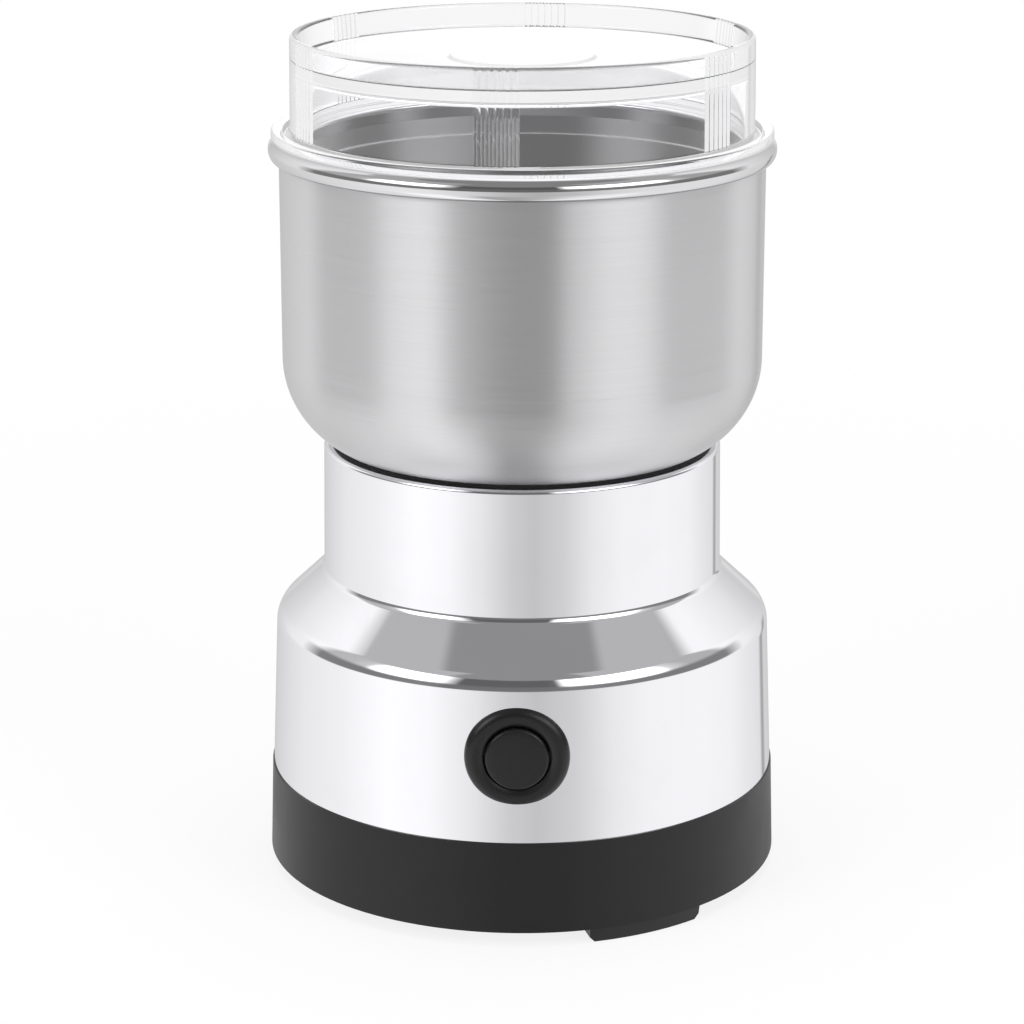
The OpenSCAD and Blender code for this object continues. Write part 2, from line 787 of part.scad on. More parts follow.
module stator_bolts() color([0.6, 0.6, 0.62]) {
    in_quarters(bolt_x, bolt_y) {
        translate([0, 0, stack_z - bracket_t - bolt_head_h])
            cylinder(r = bolt_r, h = stack_h + 2 * bracket_t + 2 * bolt_head_h);
        translate([0, 0, stack_top + bracket_t]) cylinder(r = bolt_head, h = bolt_head_h);
        translate([0, 0, stack_z - bracket_t - bolt_head_h])
            cylinder(r = bolt_head, h = bolt_head_h, $fn = 6);
    }
}

module motor_dampers() color([0.1, 0.1, 0.1])
    in_quarters(damper_x, damper_y) tube(damper_r, screw_r + slip_gap, damper_h, damper_z);

module motor_screws() color([0.62, 0.63, 0.65]) {
    in_quarters(damper_x, damper_y)
        difference() {
            union() {
                translate([0, 0, bowl_floor - head_h - fit_gap]) cylinder(r = head_r, h = head_h);
                translate([0, 0, up_bar_z - bolt_head_h])
                    cylinder(r = screw_r, h = bowl_floor - head_h - up_bar_z + bolt_head_h);
            }
            translate([0, 0, bowl_floor - fit_gap - socket_h]) cylinder(r = socket_r, h = head_h, $fn = 6);
        }
}

module brush_holders() color([0.78, 0.65, 0.35]) {
    for (s = [0, 180])
        rotate([0, 0, s])
            translate([0, 0, comm_mid])
                difference() {
                    translate([0, (tube_in + tube_out) / 2, 0])
                        cube([brush_x + 2 * (tube_gap + tube_wall), tube_out - tube_in,
                            brush_z + 2 * (tube_gap + tube_wall)], center = true);
                    translate([0, (tube_in + tube_out) / 2 - tube_cap, 0])
                        cube([brush_x + 2 * tube_gap, tube_out - tube_in, brush_z + 2 * tube_gap],
                            center = true);
                }
}

module carbon_brushes() color([0.15, 0.15, 0.16]) {
    for (s = [0, 180])
        rotate([0, 0, s])
            difference() {
                translate([0, comm_r + brush_len / 2, comm_mid])
                    cube([brush_x, brush_len, brush_z], center = true);
                translate([0, 0, comm_z - over]) cylinder(r = comm_r + brush_gap, h = comm_h + 2 * over);
            }
}

module brush_springs() color([0.7, 0.68, 0.6]) {
    for (s = [90, 270])
        rotate([0, 0, s])
            translate([comm_r + brush_len, 0, comm_mid])
                coil_spring(tube_out - tube_cap - comm_r - brush_len, brush_z / 2 - 2 * spring_wire,
                    spring_wire, spring_turns);
}

// The shell's outer form as a solid, which the bezel's back follows
module shell_solid() {
    rotate_extrude()
        polygon(concat([[0, skirt_top]], shell_side(0), [[0, neck_foot(0)]]));
}

module button_bezel() color([0.11, 0.11, 0.12]) {
    difference() {
        union() {
            difference() {
                translate([0, 0, button_z])
                    rotate([90, 0, 0])
                        rotate_extrude()
                            polygon(concat(
                                [[0, shell_r - bezel_r], [bezel_r, shell_r - bezel_r]],
                                arc([bezel_r - edge_round, rim_y - edge_round], edge_round, 0, 90, 5),
                                [[0, rim_y]]));
                shell_solid();
            }
            front_bar(tube_r, tube_end, rim_y - dish_h);
        }
        translate([0, 0, button_z])
            rotate([90, 0, 0])
                rotate_extrude()
                    polygon([
                        [0, tube_end - over],
                        [stem_r + slip_gap, tube_end - over],
                        [stem_r + slip_gap, guide_y],
                        [collar_r + run_gap, guide_y],
                        [collar_r + run_gap, step_y],
                        [mouth_r, step_y],
                        [mouth_r, rim_y - dish_h],
                        [bezel_r - edge_round, rim_y],
                        [bezel_r - edge_round, rim_y + over],
                        [0, rim_y + over]
                    ]);
    }
}

module bezel_nut() color([0.13, 0.13, 0.14]) {
    difference() {
        front_bar(bezel_nut_r, bezel_nut_y - bezel_nut_t, bezel_nut_y);
        front_bar(tube_r + fit_gap, bezel_nut_y - 2 * bezel_nut_t, bezel_nut_y + over);
        for (i = [0 : nut_grips - 1])
            translate([0, -bezel_nut_y - over, button_z])
                rotate([0, 360 * i / nut_grips, 0])
                    translate([bezel_nut_r, 0, 0])
                        rotate([-90, 0, 0]) cylinder(r = grip_r, h = bezel_nut_t + 2 * over, $fn = 24);
    }
}

module power_button() color([0.09, 0.09, 0.1]) {
    translate([0, 0, button_z])
        rotate([90, 0, 0])
            rotate_extrude()
                polygon(concat(
                    [[0, stem_y], [stem_r, stem_y], [stem_r, collar_y - collar_t],
                        [collar_r, collar_y - collar_t], [collar_r, collar_y], [cap_r, collar_y],
                        [cap_r, front_y - 2 * cap_dome]],
                    [[cap_r - cap_dome, front_y - cap_dome / 2], [cap_r / 2, front_y], [0, front_y]]));
}

module button_spring() color([0.7, 0.7, 0.7]) {
    translate([0, -guide_y, button_z])
        rotate([0, 0, -90])
            coil_spring(spring_len, spring_r, spring_wire, spring_turns);
}

module switch_body() color([0.16, 0.16, 0.17]) {
    difference() {
        translate([-switch_x / 2, -switch_y, button_z - switch_h / 2]) cube([switch_x, switch_d, switch_h]);
        front_bar(plunger_hole, switch_y - button_travel, switch_y + over);
        for (s = [-1, 1])
            translate([s * switch_screw_x, 0, -switch_h / 4])
                front_bar(screw_r + fit_gap, switch_y - switch_d - over, switch_y + over);
    }
}

module switch_bracket() color([0.7, 0.7, 0.72]) {
    difference() {
        union() {
            translate([-switch_x / 2, -bracket_y_in, skirt_top])
                cube([switch_x, bracket_sheet, button_z + switch_h / 2 - skirt_top]);
            translate([-switch_x / 2, -bracket_y_in - bracket_foot + bracket_sheet, skirt_top])
                cube([switch_x, bracket_foot, bracket_sheet]);
        }
        for (s = [-1, 1])
            translate([s * switch_screw_x, -foot_screw_y, skirt_top - over])
                cylinder(r = screw_r + fit_gap, h = bracket_sheet + 2 * over);
        for (s = [-1, 1])
            translate([s * switch_screw_x, 0, -switch_h / 4])
                front_bar(screw_r + fit_gap, bracket_y_in - bracket_sheet - over, bracket_y_in + over);
    }
}

module switch_screws() color([0.62, 0.63, 0.65]) {
    for (s = [-1, 1])
        translate([s * switch_screw_x, 0, -switch_h / 4]) {
            front_bar(screw_r, bracket_y_in - bracket_sheet, switch_y - 2 * fit_gap);
            front_bar(head_r, bracket_y_in - bracket_sheet - head_h, bracket_y_in - bracket_sheet);
        }
    for (s = [-1, 1])
        translate([s * switch_screw_x, -foot_screw_y, 0]) {
            translate([0, 0, deck_z]) cylinder(r = screw_r, h = deck_t + bracket_sheet);
            translate([0, 0, skirt_top + bracket_sheet]) cylinder(r = head_r, h = head_h);
        }
}

module lead_inlet() color([0.07, 0.07, 0.07]) {
    out_y = skirt_top_r - fit_gap;
    in_y = sqrt(pow(skirt_in_r, 2) - pow(inlet_flange, 2)) - fit_gap;
    translate([0, 0, inlet_z])
        rotate([-90, 0, 0])
            difference() {
                union() {
                    translate([0, 0, in_y - inlet_flange_t])
                        cylinder(r = inlet_r, h = out_y - in_y + inlet_flange_t);
                    translate([0, 0, in_y - inlet_flange_t]) cylinder(r = inlet_flange, h = inlet_flange_t);
                }
                translate([0, 0, in_y - 2 * inlet_flange_t]) cylinder(r = lead_r, h = base_r);
            }
}

module motor_shaft() color([0.75, 0.76, 0.78]) {
    translate([0, 0, shaft_z]) cylinder(r = shaft_r, h = blade_z - shaft_z);
    translate([0, 0, blade_z]) cylinder(r = stud_r, h = nut_z + blade_nut_h - blade_z);
}

module armature_core() color([0.42, 0.43, 0.45]) {
    translate([0, 0, stack_z])
        linear_extrude(stack_h)
            difference() {
                circle(r = armature_r);
                circle(r = shaft_r + fit_gap);
                for (i = [0 : slot_count - 1])
                    rotate(360 * i / slot_count) {
                        translate([slot_r, 0]) circle(r = slot_hole, $fn = 32);
                        translate([slot_r, -slot_slit / 2]) square([armature_r, slot_slit]);
                    }
            }
}

module armature_windings() color([0.72, 0.38, 0.2]) {
    tube(wind_r, shaft_r + 2 * coil_gap, wind_h, stack_z - wind_h - coil_gap / 2);
    tube(wind_r, shaft_r + 2 * coil_gap, wind_h, stack_top + coil_gap / 2);
    for (i = [0 : slot_count - 1])
        rotate([0, 0, 360 * i / slot_count])
            translate([slot_r, 0, stack_z - wind_h / 2])
                cylinder(r = slot_hole - 2 * fit_gap, h = stack_h + wind_h, $fn = 32);
}

module commutator() color([0.75, 0.45, 0.25]) {
    difference() {
        tube(comm_r, shaft_r + fit_gap, comm_h, comm_z);
        for (i = [0 : bar_count - 1])
            rotate([0, 0, 360 * (i + 0.5) / bar_count])
                translate([comm_r - comm_depth, -comm_slit / 2, comm_z - over])
                    cube([2 * comm_depth, comm_slit, comm_h + 2 * over]);
    }
}

module cooling_fan() color([0.85, 0.85, 0.82]) {
    difference() {
        union() {
            translate([0, 0, fan_z]) cylinder(r = fan_hub_r, h = fan_h);
            translate([0, 0, fan_z + fan_h - fan_disc]) cylinder(r = fan_r, h = fan_disc);
            for (i = [0 : fan_count - 1])
                rotate([0, 0, 360 * i / fan_count])
                    translate([fan_hub_r - fan_disc, 0, fan_z])
                        rotate([0, 0, fan_sweep])
                            cube([fan_r - fan_hub_r - fan_disc, fan_disc, fan_h - fan_disc / 2]);
        }
        translate([0, 0, fan_z - over]) cylinder(r = shaft_r + fit_gap, h = fan_h + 2 * over);
    }
}

module blade_sleeve() color([0.3, 0.3, 0.32])
    tube(sleeve_r, shaft_r + fit_gap, sleeve_h, blade_z - sleeve_h);

// The wedge ground off one edge of the sheet, from x0 to x1
module grind(x0, x1) {
    translate([x0, 0, 0])
        rotate([90, 0, 90])
            linear_extrude(x1 - x0)
                polygon([[blade_w / 2 + over, edge_left], [blade_w / 2, edge_left],
                    [blade_w / 2 - edge_w, blade_t], [blade_w / 2 - edge_w, blade_t + over],
                    [blade_w / 2 + over, blade_t + over]]);
}

// A two-winged blade with ground edges, whose tips turn up by "bend" degrees, or down
module blade(bend) {
    flat_len = blade_r - tip_len;
    rise = tip_len * tan(bend);
    difference() {
        intersection() {
            translate([0, blade_w / 2, 0])
                rotate([90, 0, 0])
                    linear_extrude(blade_w)
                        polygon([[-blade_r, rise], [-flat_len, 0], [flat_len, 0], [blade_r, rise],
                            [blade_r, rise + blade_t], [flat_len, blade_t], [-flat_len, blade_t],
                            [-blade_r, rise + blade_t]]);
            translate([0, 0, -tip_len]) cylinder(r = blade_r - fit_gap, h = 2 * tip_len);
        }
        for (s = [0, 180])
            rotate([0, 0, s]) {
                grind(sleeve_r + edge_w, flat_len);
                translate([flat_len, 0, 0])
                    rotate([0, -bend, 0])
                        grind(bend > 0 ? 0 : -blade_t, tip_len / cos(bend) + blade_t);
            }
        translate([0, 0, -over]) cylinder(r = stud_r + fit_gap, h = blade_t + 2 * over);
    }
}

module lower_blade() color([0.8, 0.8, 0.82])
    translate([0, 0, blade_z]) blade(-tip_bend);

module upper_blade() color([0.8, 0.8, 0.82])
    translate([0, 0, blade_z + blade_t]) rotate([0, 0, 90]) blade(tip_bend);

module blade_washer() color([0.7, 0.7, 0.72])
    tube(washer_r, stud_r + fit_gap, washer_t, nut_z - washer_t);

module blade_nut() color([0.78, 0.78, 0.8]) {
    difference() {
        union() {
            translate([0, 0, nut_z]) cylinder(r = blade_nut_r, h = blade_nut_h, $fn = 6);
            translate([0, 0, nut_z + blade_nut_h - dome_sink]) sphere(r = dome_r);
        }
        translate([0, 0, nut_z - blade_nut_h]) cylinder(r = blade_nut_r, h = blade_nut_h);
        translate([0, 0, nut_z - over]) cylinder(r = stud_r + fit_gap, h = blade_nut_h + over + fit_gap);
    }
}

module lid() color([0.93, 0.95, 0.96, 0.5]) {
    union() {
        rotate_extrude()
            polygon([
                [0, plate_top - lid_t],
                [lid_r - 2 * lid_t, plate_top - lid_t],
                [lid_r - lid_t, plate_top - 2 * lid_t],
                [lid_r - lid_t, flange_z],
                [spigot_r - lid_t, flange_z - lid_t],
                [spigot_r - lid_t, spigot_z],
                [spigot_r - lid_edge, spigot_z],
                [spigot_r, spigot_z + lid_edge],
                [spigot_r, flange_z],
                [flange_r, flange_z],
                [flange_r, flange_top - lid_edge],
                [flange_r - lid_edge, flange_top],
                [lid_r, flange_top],
                [lid_r - lid_draft, lid_top - lid_edge],
                [lid_r - lid_draft - lid_edge, lid_top],
                [lid_r - lid_t, lid_top],
                [lid_r - lid_t - lid_edge, plate_top],
                [disc_r + disc_h, plate_top],
                [disc_r, plate_top + disc_h],
                [0, plate_top + disc_h]
            ]);
        for (g = [0 : rib_groups - 1], i = [0 : rib_count - 1])
            rotate([0, 0, rib_group_first + 360 * g / rib_groups
                + (i - (rib_count - 1) / 2) * rib_pitch / lid_r * 180 / PI])
                translate([lid_r - lid_draft, 0, flange_top - lid_edge])
                    cylinder(r = rib_r, h = lid_h, $fn = 24);
    }
}

base_skirt();
bottom_cover();
cover_screws();
outer_shell();
chassis();
chassis_screws();
bowl();
bowl_seat_ring();
bowl_hub();
hub_nut();
shaft_seal();
upper_bearing();
lower_bearing();
upper_bracket();
lower_bracket();
stator_core();
field_coils();
stator_bolts();
motor_dampers();
motor_screws();
brush_holders();
carbon_brushes();
brush_springs();
button_bezel();
bezel_nut();
switch_body();
switch_bracket();
switch_screws();
button_spring();
lead_inlet();
motor_shaft();
armature_core();
armature_windings();
commutator();
cooling_fan();
blade_sleeve();
lower_blade();
upper_blade();
blade_washer();
blade_nut();
power_button();
lid();
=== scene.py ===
import json
import math

import bmesh
import bpy
from mathutils import Matrix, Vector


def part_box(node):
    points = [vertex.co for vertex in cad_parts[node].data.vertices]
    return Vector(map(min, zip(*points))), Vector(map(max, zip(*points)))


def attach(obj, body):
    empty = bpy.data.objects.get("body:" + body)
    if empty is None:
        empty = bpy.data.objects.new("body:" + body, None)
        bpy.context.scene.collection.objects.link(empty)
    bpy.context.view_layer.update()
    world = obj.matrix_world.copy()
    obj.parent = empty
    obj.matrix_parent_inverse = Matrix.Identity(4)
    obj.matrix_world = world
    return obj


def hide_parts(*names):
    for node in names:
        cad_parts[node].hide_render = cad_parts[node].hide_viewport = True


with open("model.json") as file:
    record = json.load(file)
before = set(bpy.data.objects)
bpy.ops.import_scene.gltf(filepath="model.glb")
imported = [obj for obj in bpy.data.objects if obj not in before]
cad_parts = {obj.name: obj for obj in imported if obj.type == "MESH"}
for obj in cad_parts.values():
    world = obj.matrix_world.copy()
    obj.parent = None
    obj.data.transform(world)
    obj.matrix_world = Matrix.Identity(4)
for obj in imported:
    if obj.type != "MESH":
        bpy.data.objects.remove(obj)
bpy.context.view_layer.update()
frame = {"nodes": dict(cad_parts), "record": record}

mm = 0.001
scene = bpy.context.scene
nodes = frame["nodes"]
print("frame loaded:", len(nodes), "nodes")


def boxOf(node):  # lowest and highest corner of a CAD node, in millimetres
    low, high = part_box(node)
    return low / mm, high / mm


# camera: where the photograph was taken from
cameraSet = {
    "distance": 0.617,      # level distance from the grinder's axis
    "height": 0.2499,
    "side": 1.07,           # degrees towards +X
    "pitch": 16.26,         # degrees down
    "turn": 0.183,          # the axis stands a little right of the middle
    "lens": 115.82,
    "sensor": 36,
    "farEnd": 20,
}


def setCamera(c):
    data = bpy.data.cameras.new("camera")
    data.lens = c["lens"]
    data.sensor_width = c["sensor"]
    data.clip_end = c["farEnd"]
    cam = bpy.data.objects.new("camera", data)
    a = math.radians(c["side"])
    cam.location = (c["distance"] * math.sin(a), -c["distance"] * math.cos(a), c["height"])
    cam.rotation_euler = (math.radians(90 - c["pitch"]), 0, math.radians(c["side"] + c["turn"]))
    scene.collection.objects.link(cam)
    scene.camera = cam


setCamera(cameraSet)
scene.view_settings.view_transform = "Standard"


# a node in a tree: its sockets take a value, or a link from another socket
def put(tree, kind, sockets=None, **settings):
    node = tree.nodes.new(kind)
    for key, value in settings.items():
        setattr(node, key, value)
    for key, value in (sockets or {}).items():
        if isinstance(value, bpy.types.NodeSocket):
            tree.links.new(value, node.inputs[key])
        else:
            node.inputs[key].default_value = value
    return node


def wire(tree, source, socket):
    tree.links.new(source, socket)


def calc(tree, operation, first, second=0.0, clamp=False):
    sockets = {0: first, 1: second}
    return put(tree, "ShaderNodeMath", sockets, operation=operation, use_clamp=clamp).outputs[0]


def spread(tree, value, low, high, toLow=0.0, toHigh=1.0):  # value from low..high to toLow..toHigh
    sockets = {"Value": value, "From Min": low, "From Max": high, "To Min": toLow, "To Max": toHigh}
    return put(tree, "ShaderNodeMapRange", sockets, interpolation_type="SMOOTHSTEP").outputs[0]


def blend(tree, share, first, second):  # a share of 0 gives the first value, 1 the second
    return put(tree, "ShaderNodeMix", {0: share, 2: first, 3: second}, data_type="FLOAT").outputs[0]


def blendColor(tree, share, first, second):
    return put(tree, "ShaderNodeMix", {0: share, 6: first, 7: second}, data_type="RGBA").outputs[2]


def noise(tree, place, scale, detail=2.0, roughness=0.5):
    sockets = {"Vector": place, "Scale": scale, "Detail": detail, "Roughness": roughness}
    return put(tree, "ShaderNodeTexNoise", sockets).outputs[0]


def newGroup(name, inputs, outputs):
    group = bpy.data.node_groups.new(name, "ShaderNodeTree")
    for label, value in inputs.items():
        socket = group.interface.new_socket(label, in_out="INPUT", socket_type="NodeSocketFloat")
        socket.default_value = value
    for label in outputs:
        group.interface.new_socket(label, in_out="OUTPUT", socket_type="NodeSocketFloat")
    given = put(group, "NodeGroupInput").outputs
    place = put(group, "ShaderNodeTexCoord").outputs["Object"]
    return group, given, put(group, "NodeGroupOutput").inputs, place


# fine lines that run round the Z axis, as a lathe or a brushing wheel leaves them
turnedSet = {
    "sockets": {"Around": 14.0, "Across": 2600.0, "Contrast": 0.6},
    "detail": 3.0,
    "roughness": 0.7,
    "wide": 0.17,           # scale of the wide lines against the fine ones
    "wideShare": 0.22,
    "middle": 0.5,          # the tone that the contrast leaves as it is
}


def makeTurnedGrain(s):
    group, given, out, place = newGroup("turnedGrain", s["sockets"], ["Grain", "Height"])
    axes = put(group, "ShaderNodeSeparateXYZ", {0: place}).outputs
    level = put(group, "ShaderNodeCombineXYZ", {0: axes[0], 1: axes[1]}).outputs[0]
    radius = put(group, "ShaderNodeVectorMath", {0: level}, operation="LENGTH").outputs["Value"]
    lines = put(group, "ShaderNodeCombineXYZ", {
        0: calc(group, "MULTIPLY", axes[0], given["Around"]),
        1: calc(group, "MULTIPLY", axes[1], given["Around"]),
        2: calc(group, "MULTIPLY", calc(group, "ADD", axes[2], radius), given["Across"])}).outputs[0]
    fine = noise(group, lines, 1.0, s["detail"], s["roughness"])
    both = blend(group, s["wideShare"], fine, noise(group, lines, s["wide"]))
    centred = calc(group, "MULTIPLY", calc(group, "SUBTRACT", both, s["middle"]), given["Contrast"])
    wire(group, calc(group, "ADD", centred, s["middle"], clamp=True), out["Grain"])
    wire(group, both, out["Height"])
    return group


# the skin of a moulding: broad uneven tone, and the fine spark texture of the tool
mouldedSet = {"sockets": {"Broad": 60.0, "Fine": 3800.0}, "broadDetail": 3.0, "fineDetail": 1.0}


def makeMouldedSkin(s):
    group, given, out, place = newGroup("mouldedSkin", s["sockets"], ["Tone", "Height"])
    wire(group, noise(group, place, given["Broad"], s["broadDetail"]), out["Tone"])
    wire(group, noise(group, place, given["Fine"], s["fineDetail"]), out["Height"])
    return group


# faint marks of handling: soft blotches with a few wiped streaks
handlingSet = {
    "sockets": {"Size": 45.0, "Amount": 1.0},
    "detail": 4.0,
    "roughness": 0.6,
    "blotches": (0.48, 0.75),       # the part of the noise that shows
    "stretch": (9.0, 3.0, 1.0),     # streaks are thin across X and long along Z
    "streakDetail": 3.0,
    "streaks": (0.55, 0.8),
    "streakShare": 0.5,
}


def makeHandling(s):
    group, given, out, place = newGroup("handling", s["sockets"], ["Marks"])
    cloud = noise(group, place, given["Size"], s["detail"], s["roughness"])
    blotches = spread(group, cloud, *s["blotches"])
    stretched = put(group, "ShaderNodeMapping", {"Vector": place, "Scale": s["stretch"]}).outputs[0]
    wiped = spread(group, noise(group, stretched, given["Size"], s["streakDetail"]), *s["streaks"])
    both = calc(group, "ADD", blotches, calc(group, "MULTIPLY", wiped, s["streakShare"]))
    wire(group, calc(group, "MULTIPLY", both, given["Amount"], clamp=True), out["Marks"])
    return group


# parallel lines across Z: stacked sheet, wound wire
stackSet = {
    "sockets": {"Pitch": 0.0005, "Waver": 0.3},
    "bends": 150.0,         # scale of the noise that bends the lines
    "line": (-1.0, -0.4),   # the part of each wave that is the dark line
}


def makeStackLines(s):
    group, given, out, place = newGroup("stackLines", s["sockets"], ["Line", "Height"])
    height = put(group, "ShaderNodeSeparateXYZ", {0: place}).outputs[2]
    waver = calc(group, "MULTIPLY", noise(group, place, s["bends"]), given["Waver"])
    turns = calc(group, "ADD", calc(group, "DIVIDE", height, given["Pitch"]), waver)
    wave = calc(group, "SINE", calc(group, "MULTIPLY", turns, 2 * math.pi))
    wire(group, spread(group, wave, *s["line"]), out["Line"])
    wire(group, spread(group, wave, -1.0, 1.0), out["Height"])
    return group


groups = {
    "turned": makeTurnedGrain(turnedSet),
    "moulded": makeMouldedSkin(mouldedSet),
    "handling": makeHandling(handlingSet),
    "stack": makeStackLines(stackSet),
}


def effect(tree, name, **values):
    node = put(tree, "ShaderNodeGroup", node_tree=groups[name])
    for label, value in values.items():
        node.inputs[label].default_value = value
    return node.outputs


def newMaterial(name, sockets):
    material = bpy.data.materials.new(name)
    material.use_nodes = True
    tree = material.node_tree
    tree.nodes.clear()
    shader = put(tree, "ShaderNodeBsdfPrincipled", sockets)
    put(tree, "ShaderNodeOutputMaterial", {"Surface": shader.outputs[0]})
    return material, tree, shader.inputs


def bump(tree, height, strength, depth):
    sockets = {"Height": height, "Strength": strength, "Distance": depth}
    return put(tree, "ShaderNodeBump", sockets).outputs[0]


def shade(color, factor=1.0):
    return (color[0] * factor, color[1] * factor, color[2] * factor, 1.0)


def grey(level):
    return (level, level, level, 1.0)


# the part of a pattern, from dark to light, over which a roughness rises
patternSpan = {"tone": (0.3, 0.7), "grain": (0.2, 0.8)}


def toned(tree, pattern, color, vary):
    return blendColor(tree, pattern, shade(color, 1 - vary), shade(color, 1 + vary))


def roughened(tree, pattern, kind, roughness, vary):
    return spread(tree, pattern, *patternSpan[kind], roughness - vary, roughness + vary)


# moulded plastic and rubber
plasticSet = {"roughVary": 0.04, "rubbed": 0.12, "depth": 0.00005}     # rubbed: smoother where it is handled


def plastic(name, color, roughness, level=0.5, vary=0.12, skin=0.25, broad=60.0, fine=3800.0, marks=0.0):
    s = plasticSet
    material, tree, to = newMaterial(name, {"Specular IOR Level": level})
    moulded = effect(tree, "moulded", Broad=broad, Fine=fine)
    wire(tree, toned(tree, moulded["Tone"], color, vary), to["Base Color"])
    rough = roughened(tree, moulded["Tone"], "tone", roughness, s["roughVary"])
    if marks:
        handled = effect(tree, "handling", Amount=marks)["Marks"]
        rough = calc(tree, "SUBTRACT", rough, calc(tree, "MULTIPLY", handled, s["rubbed"]))
    wire(tree, rough, to["Roughness"])
    wire(tree, bump(tree, moulded["Height"], skin, s["depth"]), to["Normal"])
    return material


# turned, drawn or stamped metal
metalSet = {"broad": 120.0, "toneShare": 0.4, "roughVary": 0.06, "groove": 0.2, "depth": 0.00002}


def metal(name, color, roughness, contrast=0.5, across=2600.0, vary=0.1):
    s = metalSet
    material, tree, to = newMaterial(name, {"Metallic": 1.0})
    grain = effect(tree, "turned", Across=across, Contrast=contrast)
    tone = effect(tree, "moulded", Broad=s["broad"])["Tone"]
    pattern = blend(tree, s["toneShare"], grain["Grain"], tone)
    wire(tree, toned(tree, pattern, color, vary), to["Base Color"])
    wire(tree, roughened(tree, grain["Grain"], "grain", roughness, s["roughVary"]), to["Roughness"])
    wire(tree, bump(tree, grain["Height"], s["groove"], s["depth"]), to["Normal"])
    return material


# stacked sheets and windings
layeredSet = {"broad": 200.0, "vary": 0.15, "roughVary": 0.08, "groove": 0.6, "depth": 0.00012}


def layered(name, color, lineColor, roughness, metallic, pitch, waver=0.0):
    s = layeredSet
    material, tree, to = newMaterial(name, {"Metallic": metallic})
    stack = effect(tree, "stack", Pitch=pitch, Waver=waver)
    tone = effect(tree, "moulded", Broad=s["broad"])["Tone"]
    base = toned(tree, tone, color, s["vary"])
    wire(tree, blendColor(tree, stack["Line"], shade(lineColor), base), to["Base Color"])
    wire(tree, roughened(tree, tone, "tone", roughness, s["roughVary"]), to["Roughness"])
    wire(tree, bump(tree, stack["Height"], s["groove"], s["depth"]), to["Normal"])
    return material


# mirror-polished shell
shellFinish = {
    "color": (0.97, 0.965, 0.995),
    "roughness": 0.05,
    "marks": 0.05,          # how much rougher the marks of handling are
    "markTone": 0.975,
    "markSize": 30.0,
    "waver": 0.10,          # the sheet isn't quite even
    "waverSize": 22.0,
    "waverDepth": 0.0004,
}


def makePolished(f):
    material, tree, to = newMaterial("polishedShell", {"Metallic": 1.0})
    marks = effect(tree, "handling", Size=f["markSize"])["Marks"]
    waves = effect(tree, "moulded", Broad=f["waverSize"])["Tone"]
    color = blendColor(tree, marks, shade(f["color"]), shade(f["color"], f["markTone"]))
    wire(tree, color, to["Base Color"])
    rough = calc(tree, "ADD", calc(tree, "MULTIPLY", marks, f["marks"]), f["roughness"])
    wire(tree, rough, to["Roughness"])
    wire(tree, bump(tree, waves, f["waver"], f["waverDepth"]), to["Normal"])
    return material


# brushed bowl: the lines run round it, so its lights are drawn out up and down
bowlFinish = {
    "color": (0.772, 0.77, 0.783),
    "vary": 0.09,
    "roughness": 0.31,
    "roughVary": 0.05,
    "stretch": 1.0,         # how far its lights are drawn out, 1 is the most
    "stretchTurn": 0.25,    # a quarter turn, across the lines
    "around": 11.0,
    "across": 2300.0,
    "contrast": 0.9,
    "broad": 35.0,
    "toneShare": 0.25,
    "groove": 0.18,
    "grooveDepth": 0.00002,
    "bead": 0.055,          # roughness of the polished bead
    "beadH": 4.0,           # height of the bead, in millimetres
    "beadStart": (-0.2, 0.1),       # the polish begins here, in millimetres from the bead's underside
    "creaseShadeEnd": (0.3, 0.6),        # and here ends the painted shade, a darker line painted along the wall under the bead where the bead's shadow falls
    "creaseShade": 0.4,          # tone of that painted shade line
    "inside": 0.4,          # roughness of the inside
    "insideVary": 0.03,
    # painted shade: the inside's colour is darkened, as shade falls in the bowl's hollow
    "insideShade": 0.66,
}


